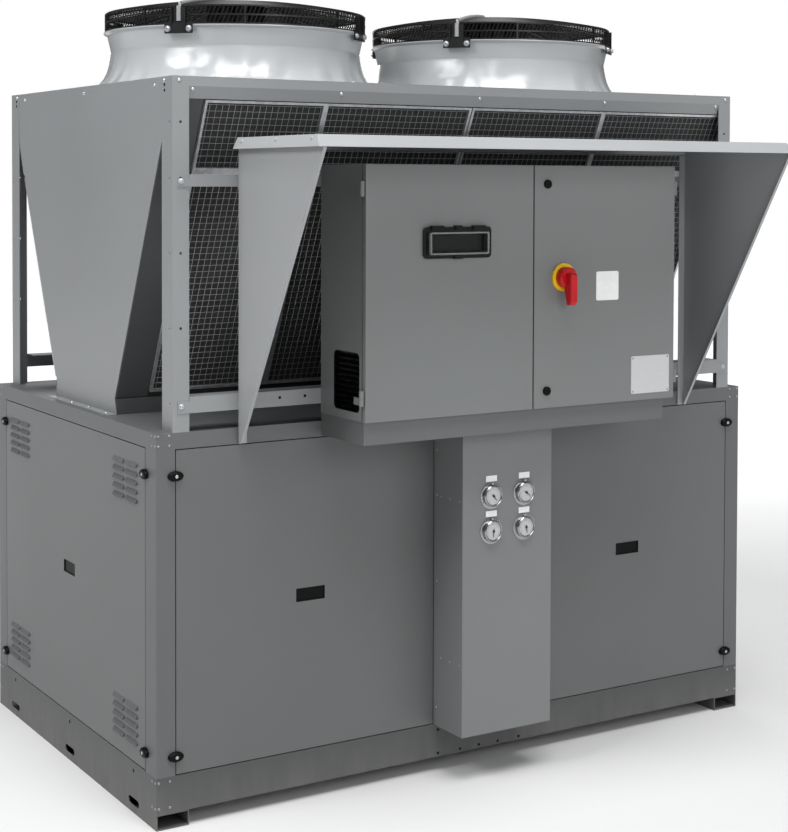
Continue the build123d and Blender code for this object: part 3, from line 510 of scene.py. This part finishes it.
def facing_front(x, y, z, roll=0.0):
    """Matrix of a flat piece that faces the front, with its own x to the right and y up."""
    basis = Matrix(((1, 0, 0), (0, 0, -1), (0, 1, 0))).to_4x4()
    return Matrix.Translation((x, y, z)) @ basis @ Matrix.Rotation(roll, 4, "Z")


def joined(meshes):
    """One mesh from several."""
    whole = bmesh.new()
    for mesh in meshes:
        whole.from_mesh(mesh)
    out = bpy.data.meshes.new("joined")
    whole.to_mesh(out)
    whole.free()
    for material in meshes[0].materials:
        out.materials.append(material)
    return out


ink = moulded("dial ink", (0.010, 0.010, 0.011), 0.5)
dial_proud = 0.0133
dial_y = duct_y - dial_proud
pointer_turns = (176, -142, -172, -128)
marks = ring_of_marks_tree()
for number, (x, z) in enumerate(gauge_centres, 1):
    blank = bpy.data.objects.new("marks", bpy.data.meshes.new("marks"))
    grown(
        f"dial_marks_{number}",
        blank,
        marks,
        {"Count": 31, "Radius": 0.0215, "Mark": 0.0022, "Finish": ink.material},
        "unit",
        facing_front(x, dial_y - 0.0002, z),
    )


def pointer(turn, x, z):
    """Tapered pointer with a round boss and a short tail."""
    shape = bmesh.new()
    flat = [(-0.0006, 0.018), (0.0006, 0.018), (0.0012, 0), (0.0016, -0.007), (-0.0016, -0.007), (-0.0012, 0)]
    low = [shape.verts.new((a, b, 0.0018)) for a, b in flat]
    high = [shape.verts.new((a, b, 0.0026)) for a, b in flat]
    shape.faces.new(low[::-1])
    shape.faces.new(high)
    for step in range(6):
        after = (step + 1) % 6
        shape.faces.new((low[step], low[after], high[after], high[step]))
    bmesh.ops.recalc_face_normals(shape, faces=shape.faces[:])
    mesh = bpy.data.meshes.new("pointer")
    shape.to_mesh(mesh)
    shape.free()
    cap = turned("cap", [(0.0036, 0.001), (0.0036, 0.0034), (0.0028, 0.0040), (0, 0.0041)], 16)
    whole = joined([mesh, cap])
    whole.transform(facing_front(x, dial_y, z, math.radians(turn)))
    return whole


needles = joined([pointer(turn, x, z) for turn, (x, z) in zip(pointer_turns, gauge_centres)])
needles.materials.append(ink.material)
finished("gauge_pointers", needles, "unit")


# Upper frame: angle posts, tabbed rails, beams with a sloping lower face and the tapering end plates, from
# the same folded sheet in a lighter satin grey. Zinc bolts hold the rails, zinc screws the beams and plates.
upper_coat = powder_coat("upper coat", (0.240, 0.249, 0.255), gloss=0.38)
dress(upper_coat, "frame_posts", "cross_rails", "top_beams", "end_plates", "fan_deck")

bolt_shape = head_shape(
    "bolt head",
    [(0.5, 0), (0.5, 0.22), (0.36, 0.25), (0.34, 0.8), (0.26, 1), (0.16, 1), (0.13, 0.55), (0, 0.55)],
    12,
)
zinc_steel = bright_metal("zinc plated steel", (0.62, 0.64, 0.66), 0.28)
post_y, post_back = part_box("frame_posts")[0].y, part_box("frame_posts")[1].y
rail_bolt_x = frame_x - 0.026
rail_bolt_heights = (1.2037, 1.8428)
bolts = []
for side_x in (-1, 1):
    for z in rail_bolt_heights:
        bolts.append(((side_x * rail_bolt_x, front_rail_y, z), (0, -1, 0)))
        bolts.append(((side_x * rail_bolt_x, back_rail_y, z), (0, 1, 0)))
fasten("rail_bolts", bolts, bolt_shape, 0.016, 0.005, zinc_steel)

slope_inset, slope_z = 0.0026, 2.103
corner_inset, corner_back, corner_z = 0.022, 0.056, 2.128
plate_x, plate_z = 1.047, 2.118
foot_x, foot_flange_z = 1.063, 1.132
deck_inset, deck_z = 0.018, 2.140
sheet_screws = []
for y, face in ((post_y, -1), (post_back, 1)):
    for x in (-0.985, -0.5, 0.0, 0.5, 0.985):
        sheet_screws.append(((x, y - face * slope_inset, slope_z), (0, 0.96 * face, -0.28)))
    for side_x in (-1, 1):
        sheet_screws.append(((side_x * (frame_x - corner_inset), y, corner_z), (0, face, 0)))
        sheet_screws.append(((side_x * frame_x, y - face * corner_back, corner_z), (side_x, 0, 0)))
for side_x in (-1, 1):
    for y in (-0.30, 0.2555, 0.812):
        sheet_screws.append(((side_x * plate_x, y, plate_z), (side_x, 0, 0)))
    for y in (0.036, 0.183, 0.328, 0.475):
        sheet_screws.append(((side_x * foot_x, y, foot_flange_z), (0, 0, 1)))
for x in (-0.9, -0.45, 0.0, 0.45, 0.9):
    for y in (post_y + deck_inset, post_back - deck_inset):
        sheet_screws.append(((x, y, deck_z), (0, 0, 1)))
fasten("sheet_screws", sheet_screws, screw_shape, 0.012, 0.0035, zinc_steel)


# Coils: fin blocks of thin plates about 2 mm apart on horizontal tubes, coated dark, with painted shade in
# the gaps between the plates. The smooth end sheets and the drain tray below are coated steel.
def fin_block(name):
    fins = Finish(name, Metallic=0.35)
    fin = fins.along("X") / 0.0021
    ridge_and_gap_shade = abs(fin.fraction() - 0.5) * 2.0
    odd = fins.node("TexWhiteNoise", {"noise_dimensions": "1D"}, {"W": fin.whole()})
    row = abs((fins.along("Z") / 0.0254).fraction() - 0.5) * 2.0
    patch = fins.noise(60.0, 4.0)
    # The fin tone darkens between the plates: painted shade in the gaps. The same ridge also shapes the bump.
    tone = (ridge_and_gap_shade * 0.45 + odd * 0.25 + patch * 0.45 - row * 0.2).limited()
    fins.paint(Base_Color=fins.shade(tone, (0.006, 0.006, 0.006), (0.082, 0.083, 0.081)))
    fins.paint(Roughness=0.42 + 0.25 * patch)
    fins.relief(ridge_and_gap_shade * 0.8 + patch * 0.6, 0.7, 0.0015)
    return fins


dress(fin_block("coated fins"), "coil_front", "coil_back")
end_coat = powder_coat("coil end coat", (0.060, 0.064, 0.066), gloss=0.36)
dress(end_coat, "coil_end_sheets", "drain_tray")


# Wire guards over the coils: galvanised bars frame a woven mesh of 1.6 mm wire at 20 mm pitch, crimped
# where the wires cross. One guard lies on each coil, in an upper and a lower row.
def woven_tree():
    """Woven mesh in X and Y, its wires waving across the plane."""
    sizes = dict.fromkeys(("Pitch", "Wire", "Crimp"), "Float")
    tree, given = open_tree(
        "woven wire", "Mesh", Shape="Geometry", Wide="Int", High="Int", **sizes, Finish="Material"
    )
    new, link = tree.nodes.new, tree.links.new
    number = partial(tree_maths, tree)
    def vector(x, y, z):
        made = new("ShaderNodeCombineXYZ")
        for slot, value in enumerate((x, y, z)):
            if value is not None:
                link(value, made.inputs[slot])
        return made.outputs[0]

    pitch = given.outputs["Pitch"]
    wires = new("GeometryNodeJoinGeometry")
    for wires_in, runs_in, sign in (("Wide", "High", 1.0), ("High", "Wide", -1.0)):
        across = sign > 0
        step_run = vector(None, pitch, None) if across else vector(pitch, None, None)
        step_wire = vector(pitch, None, None) if across else vector(None, pitch, None)
        run = new("GeometryNodeMeshLine")
        run.mode = "OFFSET"
        link(given.outputs[runs_in], run.inputs["Count"])
        link(step_run, run.inputs["Offset"])
        starts = new("GeometryNodeMeshLine")
        starts.mode = "OFFSET"
        link(given.outputs[wires_in], starts.inputs["Count"])
        link(step_wire, starts.inputs["Offset"])
        copies = new("GeometryNodeInstanceOnPoints")
        link(starts.outputs["Mesh"], copies.inputs["Points"])
        link(run.outputs["Mesh"], copies.inputs["Instance"])
        real = new("GeometryNodeRealizeInstances")
        link(copies.outputs[0], real.inputs[0])
        place = new("GeometryNodeInputPosition")
        parts = new("ShaderNodeSeparateXYZ")
        link(place.outputs[0], parts.inputs[0])
        total = number("ADD", parts.outputs["X"], parts.outputs["Y"])
        wave = number("COSINE", number("MULTIPLY", number("DIVIDE", total, pitch), math.pi), 0.0)
        lift = number("MULTIPLY", number("MULTIPLY", wave, given.outputs["Crimp"]), sign)
        bent = new("GeometryNodeSetPosition")
        link(real.outputs[0], bent.inputs["Geometry"])
        link(vector(None, None, lift), bent.inputs["Offset"])
        curve = new("GeometryNodeMeshToCurve")
        link(bent.outputs[0], curve.inputs["Mesh"])
        link(curve.outputs[0], wires.inputs[0])
    rod = new("GeometryNodeCurvePrimitiveCircle")
    rod.inputs["Resolution"].default_value = 4
    link(given.outputs["Wire"], rod.inputs["Radius"])
    tube = new("GeometryNodeCurveToMesh")
    link(wires.outputs[0], tube.inputs["Curve"])
    link(rod.outputs[0], tube.inputs["Profile Curve"])
    close_tree(tree, tube.outputs[0], given.outputs["Finish"])
    return tree


guard_zinc = zinc("guard frame zinc", (0.55, 0.56, 0.57))
dress(guard_zinc, "guard_frames")
wire_zinc = bright_metal("wire zinc", (0.46, 0.47, 0.47), 0.38, 200.0)
middle_y = (front_y + back_y) / 2
coil_top = Vector((0, 0.665, 2.080))
coil_foot = Vector((0, 0.252, 1.178))
down = (coil_foot - coil_top).normalized()
pitch = 0.0202
wire_radius = 0.0008
mesh_start, mesh_end = -0.9415, 1.0435
mesh_lift = 0.0055
weave = woven_tree()
for side, face in (("front", -1), ("back", 1)):
    for row, (start, end) in (("upper", (0.012, 0.219)), ("lower", (0.259, 0.962))):
        wide = int((mesh_end - mesh_start) / pitch) + 1
        high = int((end - start) / pitch) + 1
        run = Vector((0, face * down.y, down.z))
        right = Vector((1, 0, 0))
        out = right.cross(-run) * -face
        corner_x = mesh_start if face < 0 else -mesh_end
        corner = Vector((corner_x, middle_y + face * coil_top.y, coil_top.z)) + run * end
        corner += out * mesh_lift
        axes = Matrix((right, -run, out)).transposed().to_4x4()
        grown(
            f"wire_mesh_{side}_{row}",
            bpy.data.objects.new("mesh", bpy.data.meshes.new("mesh")),
            weave,
            {
                "Wide": wide,
                "High": high,
                "Pitch": pitch,
                "Wire": wire_radius,
                "Crimp": wire_radius,
                "Finish": wire_zinc.material,
            },
            "unit",
            Matrix.Translation(corner) @ axes,
        )


# Fan shrouds: glass-filled plastic bells moulded in glossy light grey, with slight waves in their flare,
# bolted by their foot flange to the deck.
shroud_coat = Finish("shroud gloss", Metallic=0.0, Coat_Weight=0.35, Coat_Roughness=0.10)
shroud_cloud = shroud_coat.noise(2.5, 3.0)
shroud_coat.paint(
    Base_Color=shroud_coat.shade(shroud_cloud, (0.40, 0.414, 0.423), (0.47, 0.485, 0.493)),
    Roughness=0.22 + 0.05 * shroud_cloud,
)
flare_top, flare_depth = 2.255, 0.075
shroud_low = (flare_top - shroud_coat.along("Z")) / flare_depth
shroud_wave = shroud_coat.noise(17.0, 0.0, (1.0, 1.0, 0.25)) * shroud_low.limited()
shroud_coat.relief(shroud_wave + 0.35 * shroud_coat.noise(4.0, 0.0), 0.6, 0.030)
dress(shroud_coat, "fan_shrouds")
fan_x = 0.514
foot_radius = 0.487
foot_z = 2.143
foot_bolts = []
for side_x in (-1, 1):
    for step in range(8):
        angle = math.radians(22.5 + 45 * step)
        reach = foot_radius * math.cos(angle)
        spot = (side_x * fan_x + reach, middle_y + foot_radius * math.sin(angle), foot_z)
        foot_bolts.append((spot, (0, 0, 1)))
fasten("shroud_bolts", foot_bolts, bolt_shape, 0.018, 0.006, zinc_steel)


# Fan guards: plastic-coated steel wire. Rings lie over the domed arms, slanting wires close the upright
# band, and four brackets hold it to the shroud's lip with two bright bolts each. A conduit feeds each motor.
guard_coat = Finish("black coated wire", Metallic=0.0, Specular_IOR_Level=0.35)
guard_cloud = guard_coat.noise(40.0, 3.0)
guard_coat.paint(Base_Color=guard_coat.shade(guard_cloud, (0.004, 0.004, 0.004), (0.013, 0.013, 0.014)))
guard_coat.paint(Roughness=0.30 + 0.15 * guard_cloud)
guard_coat.relief(guard_coat.noise(700.0), 0.2, 0.0003)
dress(guard_coat, "fan_guards")


def guard_tree():
    """Rings over a dome, drawn inwards from the rim."""
    sizes = dict.fromkeys(("Inner", "Outer", "Rise", "Wire"), "Float")
    tree, given = open_tree(
        "guard rings", "Rings", Shape="Geometry", Rings="Int", **sizes, Finish="Material"
    )
    new, link = tree.nodes.new, tree.links.new
    number = partial(tree_maths, tree)
    line = new("GeometryNodeMeshLine")
    line.mode = "OFFSET"
    link(given.outputs["Rings"], line.inputs["Count"])
    line.inputs["Offset"].default_value = (0, 0, 0)
    index = new("GeometryNodeInputIndex")
    share = number("DIVIDE", index.outputs[0], number("SUBTRACT", given.outputs["Rings"], 1.0))
    reach = number("SUBTRACT", given.outputs["Outer"], given.outputs["Inner"])
    radius = number("ADD", given.outputs["Inner"], number("MULTIPLY", reach, share))
    ratio = number("DIVIDE", radius, given.outputs["Outer"])
    fall = number("MULTIPLY", ratio, ratio)
    height = number("MULTIPLY", given.outputs["Rise"], number("SUBTRACT", 1.0, fall))
    lift = new("ShaderNodeCombineXYZ")
    link(height, lift.inputs[2])
    raised = new("GeometryNodeSetPosition")
    link(line.outputs["Mesh"], raised.inputs["Geometry"])
    link(lift.outputs[0], raised.inputs["Offset"])
    circle = new("GeometryNodeCurvePrimitiveCircle")
    circle.inputs["Resolution"].default_value = 80
    circle.inputs["Radius"].default_value = 1.0
    size = new("ShaderNodeCombineXYZ")
    link(radius, size.inputs[0])
    link(radius, size.inputs[1])
    size.inputs[2].default_value = 1.0
    setter = new("GeometryNodeInstanceOnPoints")
    link(raised.outputs[0], setter.inputs["Points"])
    link(circle.outputs[0], setter.inputs["Instance"])
    link(size.outputs[0], setter.inputs["Scale"])
    real = new("GeometryNodeRealizeInstances")
    link(setter.outputs[0], real.inputs[0])
    rod = new("GeometryNodeCurvePrimitiveCircle")
    rod.inputs["Resolution"].default_value = 5
    link(given.outputs["Wire"], rod.inputs["Radius"])
    tube = new("GeometryNodeCurveToMesh")
    link(real.outputs[0], tube.inputs["Curve"])
    link(rod.outputs[0], tube.inputs["Profile Curve"])
    close_tree(tree, tube.outputs[0], given.outputs["Finish"])
    return tree


def rods(lines, radius, sides=4):
    """Mesh of straight or bent rods along lists of points, ends closed."""
    shape = bmesh.new()
    for line in lines:
        path = [Vector(point) for point in line]
        rings = []
        for i, point in enumerate(path):
            way = (path[min(i + 1, len(path) - 1)] - path[max(i - 1, 0)]).normalized()
            side = way.cross((0, 0, 1) if abs(way.z) < 0.9 else (1, 0, 0)).normalized()
            up = side.cross(way)
            turns = [2 * math.pi * (step + 0.5) / sides for step in range(sides)]
            ring = [point + radius * (math.cos(t) * side + math.sin(t) * up) for t in turns]
            rings.append([shape.verts.new(spot) for spot in ring])
        for low, high in zip(rings, rings[1:]):
            for step in range(sides):
                after = (step + 1) % sides
                shape.faces.new((low[step], low[after], high[after], high[step]))
        shape.faces.new(rings[0][::-1])
        shape.faces.new(rings[-1])
    bmesh.ops.recalc_face_normals(shape, faces=shape.faces[:])
    mesh = bpy.data.meshes.new("rods")
    shape.to_mesh(mesh)
    shape.free()
    return mesh


def polar(centre, radius, degrees, z):
    angle = math.radians(degrees)
    return Vector((centre + radius * math.cos(angle), middle_y + radius * math.sin(angle), z))


ring_outer = 0.4265
dome_foot = 2.385
dome_rise = 0.045


def dome(radius):
    return dome_foot + dome_rise * (1 - (radius / ring_outer) ** 2)


band_radius, band_low, band_high = 0.4275, 2.329, 2.384
slant_count, slant = 192, 3.0
radial_count, radial_reach = 48, (0.118, 0.2, 0.28, 0.36, 0.426)
bracket_radius, bracket_half, bracket_z = 0.438, 0.036, 2.311
feed_radius, feed_turn, feed_lift = 0.4345, 220, 0.0042
feed_reach = (0.422, 0.39, 0.33, 0.26, 0.19, 0.13, 0.10)
rings = guard_tree()
conduit_coat = moulded("grey conduit", (0.30, 0.31, 0.315), 0.35)
for side, centre in (("left", -fan_x), ("right", fan_x)):
    grown(
        f"guard_rings_{side}",
        bpy.data.objects.new("rings", bpy.data.meshes.new("rings")),
        rings,
        {
            "Rings": 34,
            "Inner": 0.122,
            "Outer": ring_outer,
            "Rise": dome_rise,
            "Wire": 0.0021,
            "Finish": guard_coat.material,
        },
        "unit",
        Matrix.Translation((centre, middle_y, dome_foot + 0.0002)),
    )
    slants = []
    for step in range(slant_count):
        turn = 360 / slant_count * step
        foot = polar(centre, band_radius, turn, band_low)
        slants.append([foot, polar(centre, band_radius, turn + slant, band_high)])
    for step in range(radial_count):
        turn = 360 / radial_count * step
        slants.append([polar(centre, r, turn, dome(r) - 0.002) for r in radial_reach])
    basket = rods(slants, 0.0016)
    basket.materials.append(guard_coat.material)
    finished(f"guard_wires_{side}", basket, "unit")

    bracket_bolts = []
    for step in range(4):
        angle = math.radians(40 + 90 * step)
        out = Vector((math.cos(angle), math.sin(angle), 0))
        side_way = Vector((-out.y, out.x, 0))
        for shift in (-bracket_half, bracket_half):
            spot = Vector((centre, middle_y, bracket_z)) + out * bracket_radius + side_way * shift
            bracket_bolts.append((spot, out))
    fasten(f"bracket_bolts_{side}", bracket_bolts, bolt_shape, 0.020, 0.008, zinc_steel)

    run = [polar(centre, feed_radius, feed_turn, z) for z in (2.335, 2.380)]
    run += [polar(centre, r, feed_turn, dome(r) + feed_lift) for r in feed_reach]
    feed = rods([run], 0.0075, 10)
    feed.materials.append(conduit_coat.material)
    finished(f"motor_conduit_{side}", feed, "unit", 60.0)

motor_coat = moulded("motor casting paint", (0.016, 0.016, 0.017), 0.38, 260.0)
dress(motor_coat, "fan_motors")
blade_plastic = moulded("blade plastic", (0.020, 0.021, 0.022), 0.42, 380.0)
dress(blade_plastic, "fan_rotor_left", "fan_rotor_right")


# Electric box: folded shell with two pan doors on pin hinges, in fine-textured grey. The display sits
# behind the left door's window, under a clear cover with a painted highlight round its edge.
box_coat = powder_coat("box coat", (0.168, 0.175, 0.175), gloss=0.40)
dress(box_coat, "box_shell", "door_left", "door_right", "hinge_pins")
# The plinth takes a darker grey than the box: painted shade under the doors' overhang.
shaded_plinth_coat = powder_coat("plinth coat", (0.112, 0.117, 0.118), gloss=0.42)
dress(shaded_plinth_coat, "box_plinth")
yellow = moulded("switch plate yellow", (0.80, 0.50, 0.015), 0.4)
dress(yellow, "isolator_plate")
red = moulded("switch handle red", (0.47, 0.006, 0.010), 0.28)
dress(red, "isolator_handle")
screen_case = moulded("display case", (0.012, 0.014, 0.014), 0.3)
dress(screen_case, "display_unit")
clear = Finish("clear cover", Roughness=0.06, IOR=1.49, Specular_IOR_Level=0.5)
scratch = clear.noise(60.0, 4.0)
cover_low, cover_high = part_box("window_cover")
highlight_rim_width = 0.005


def near_edge(axis, low, high):
    """1 within the rim's width of the cover's two ends along an axis, else 0."""
    return abs(clear.along(axis) - (low + high) / 2) > (high - low) / 2 - highlight_rim_width


# Painted highlight: the cover is lighter and more opaque in a band round its edge, where light would catch
# its bevel.
rim_highlight = near_edge("X", cover_low.x, cover_high.x) + near_edge("Z", cover_low.z, cover_high.z)
rim_highlight = rim_highlight.limited()
clear.paint(
    Base_Color=clear.shade(rim_highlight, (0.02, 0.022, 0.022), (0.34, 0.35, 0.35)),
    Alpha=0.10 + 0.08 * scratch + 0.34 * rim_highlight,
)
clear.relief(scratch, 0.04, 0.0004)
clear.material.surface_render_method = "BLENDED"
dress(clear, "window_cover")


# Blank plates on the right door: a white square beside the switch, and a satin aluminium plate held by
# small rivets. Both are thin sheet with rounded corners and nothing on them.
def blank_plate(x0, x1, z0, z1, y, thick, corner):
    shape = bmesh.new()
    rim = []
    for cx, cz, start in ((x1, z1, 0), (x0, z1, 90), (x0, z0, 180), (x1, z0, 270)):
        inx = cx - corner if cx == x1 else cx + corner
        inz = cz - corner if cz == z1 else cz + corner
        for step in range(6):
            angle = math.radians(start + 18 * step)
            rim.append((inx + corner * math.cos(angle), inz + corner * math.sin(angle)))
    low = [shape.verts.new((a, y, b)) for a, b in rim]
    edge = [shape.verts.new((a, y - 0.7 * thick, b)) for a, b in rim]
    mid_x, mid_z = (x0 + x1) / 2, (z0 + z1) / 2
    draw = 1 - 0.6 * thick / (x1 - x0)
    drawn = [(mid_x + (a - mid_x) * draw, mid_z + (b - mid_z) * draw) for a, b in rim]
    high = [shape.verts.new((a, y - thick, b)) for a, b in drawn]
    for first, second in ((low, edge), (edge, high)):
        for step in range(len(rim)):
            after = (step + 1) % len(rim)
            shape.faces.new((first[step], first[after], second[after], second[step]))
    shape.faces.new(low)
    shape.faces.new(high)
    bmesh.ops.recalc_face_normals(shape, faces=shape.faces[:])
    mesh = bpy.data.meshes.new("plate")
    shape.to_mesh(mesh)
    shape.free()
    return mesh


door_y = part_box("door_right")[0].y
plate_thick = 0.0012
white_square = blank_plate(0.257, 0.345, 1.476, 1.566, door_y, plate_thick, 0.006)
white_square.materials.append(plate_white.material)
finished("blank_white_square", white_square, "door_right", 30.0)
satin = Finish("satin aluminium plate", Metallic=0.9)
brushed = satin.noise(40.0, 3.0, (1.0, 1.0, 30.0))
satin.paint(Base_Color=satin.shade(brushed, (0.56, 0.57, 0.58), (0.74, 0.75, 0.76)))
satin.paint(Roughness=0.32 + 0.15 * brushed)
satin.relief(brushed, 0.05, 0.0002)
rating = blank_plate(0.398, 0.553, 1.176, 1.295, door_y, plate_thick, 0.006)
rating.materials.append(satin.material)
finished("blank_rating_plate", rating, "door_right", 30.0)
plate_rivets = []
for x in (0.405, 0.546):
    for z in (1.183, 1.288):
        plate_rivets.append(((x, door_y - plate_thick, z), (0, -1, 0)))
fasten("rating_plate_rivets", plate_rivets, rivet_head, 0.006, 0.0015, aluminium, "door_right")


# Hood: a bent roof sheet with sloping lips over two triangular cheeks, in a light satin grey, screwed
# together through the lips. The cheeks take a darker copy of the roof's grey: painted shade.
hood_coat = powder_coat("hood coat", (0.370, 0.381, 0.389), gloss=0.34)
dress(hood_coat, "hood_roof")
# Darker copy of the hood's grey on the cheeks: painted shade under the roof.
shaded_cheek_coat = powder_coat("cheek coat", (0.310, 0.319, 0.327), gloss=0.36)
dress(shaded_cheek_coat, "hood_cheeks")
lip_x, lip_z = 0.8527, 1.957
hood_screws = []
for side_x in (-1, 1):
    for y in (-0.4705, -0.6805, -0.8855):
        hood_screws.append(((side_x * lip_x, y, lip_z), (side_x * 0.92, 0, 0.39)))
fasten("hood_screws", hood_screws, screw_shape, 0.012, 0.003, hood_coat)


# Stage: a floor that pales away from the unit, soft lights in front, at the left, above and behind, a
# broad sun from above, a white backdrop and the camera of the view.
floor_mesh = bpy.data.meshes.new("floor")
floor_mesh.from_pydata([(-14, -12, 0), (14, -12, 0), (14, 16, 0), (-14, 16, 0)], [], [(0, 1, 2, 3)])
floor = bpy.data.objects.new("floor", floor_mesh)
floor_finish = Finish("pale floor", Metallic=0.0, Roughness=0.7)
away = floor_finish.node("VectorMath", {"operation": "LENGTH"}, {0: floor_finish.place}, output=1)
pale_from, pale_over = 2.6, 4.4
far = (away - pale_from) / pale_over
floor_finish.paint(
    Base_Color=floor_finish.shade(floor_finish.noise(1.2), (0.66, 0.66, 0.66), (0.70, 0.70, 0.70)),
    Emission_Color=floor_finish.shade(far.limited(), (0.0, 0.0, 0.0), (0.48, 0.48, 0.48)),
    Emission_Strength=1.0,
)
floor_mesh.materials.append(floor_finish.material)
bpy.context.scene.collection.objects.link(floor)


def hang(light, place, target):
    lamp = bpy.data.objects.new(light.name, light)
    lamp.location = place
    lamp.rotation_euler = (Vector(target) - Vector(place)).to_track_quat("-Z", "Y").to_euler()
    bpy.context.scene.collection.objects.link(lamp)


def softbox(name, place, target, width, height, power):
    light = bpy.data.lights.new(name, "AREA")
    light.shape = "RECTANGLE"
    light.size = width
    light.size_y = height
    light.energy = power
    hang(light, place, target)


softbox("key", (0.3, -6.6, 3.2), (0, 0, 1.4), 3.0, 2.2, 110)
softbox("fill", (4.4, -5.0, 3.0), (0, 0, 1.2), 2.4, 2.4, 25)
softbox("left", (-5.0, -0.8, 5.4), (0, 0, 1.6), 2.2, 2.0, 185)
softbox("glint", (-2.6, -5.0, 3.9), (0, 0, 2.3), 0.3, 0.8, 14)
softbox("top", (-1.4, -2.4, 5.4), (0, 0, 2.2), 1.2, 1.0, 25)
softbox("back", (2.6, 6.0, 3.6), (0, 0, 1.2), 3.0, 2.0, 70)
sky = bpy.data.lights.new("sky", "SUN")
sky.energy = 2.6
sky.angle = math.radians(35)
hang(sky, (0, 0, 0), (0.08, 0.30, -1.0))

world = bpy.data.worlds.new("studio")
world.use_nodes = True
world_nodes = world.node_tree.nodes
ambient = world_nodes["Background"]
ambient.inputs["Color"].default_value = (0.94, 0.96, 1.0, 1.0)
ambient.inputs["Strength"].default_value = 0.15
backdrop = world_nodes.new("ShaderNodeBackground")
backdrop.inputs["Color"].default_value = (1.0, 1.0, 1.0, 1.0)
backdrop.inputs["Strength"].default_value = 1.0
ray = world_nodes.new("ShaderNodeLightPath")
mix = world_nodes.new("ShaderNodeMixShader")
for source, target in (
    (ray.outputs["Is Camera Ray"], mix.inputs[0]),
    (ambient.outputs[0], mix.inputs[1]),
    (backdrop.outputs[0], mix.inputs[2]),
    (mix.outputs[0], world_nodes["World Output"].inputs["Surface"]),
):
    world.node_tree.links.new(source, target)
bpy.context.scene.world = world
bpy.context.scene.view_settings.view_transform = "Standard"

camera_data = bpy.data.cameras.new("camera")
camera_data.sensor_width = 36.0
camera_data.lens = 72.34
camera_data.shift_y = -0.2243
camera_data.clip_end = 100.0
camera = bpy.data.objects.new("camera", camera_data)
yaw, pitch_up, roll = (math.radians(value) for value in (-31.572, 1.677, 0.161))
back = Vector((math.sin(yaw) * math.cos(pitch_up), -math.cos(yaw) * math.cos(pitch_up), math.sin(pitch_up)))
right = Vector((math.cos(yaw), math.sin(yaw), 0))
above = back.cross(right)
level_right = math.cos(roll) * right + math.sin(roll) * above
level_up = math.cos(roll) * above - math.sin(roll) * right
facing = Matrix((level_right, level_up, back)).transposed().to_4x4()
camera.matrix_world = Matrix.Translation((-2.983, -4.7685, 1.846)) @ facing
bpy.context.scene.collection.objects.link(camera)
bpy.context.scene.camera = camera
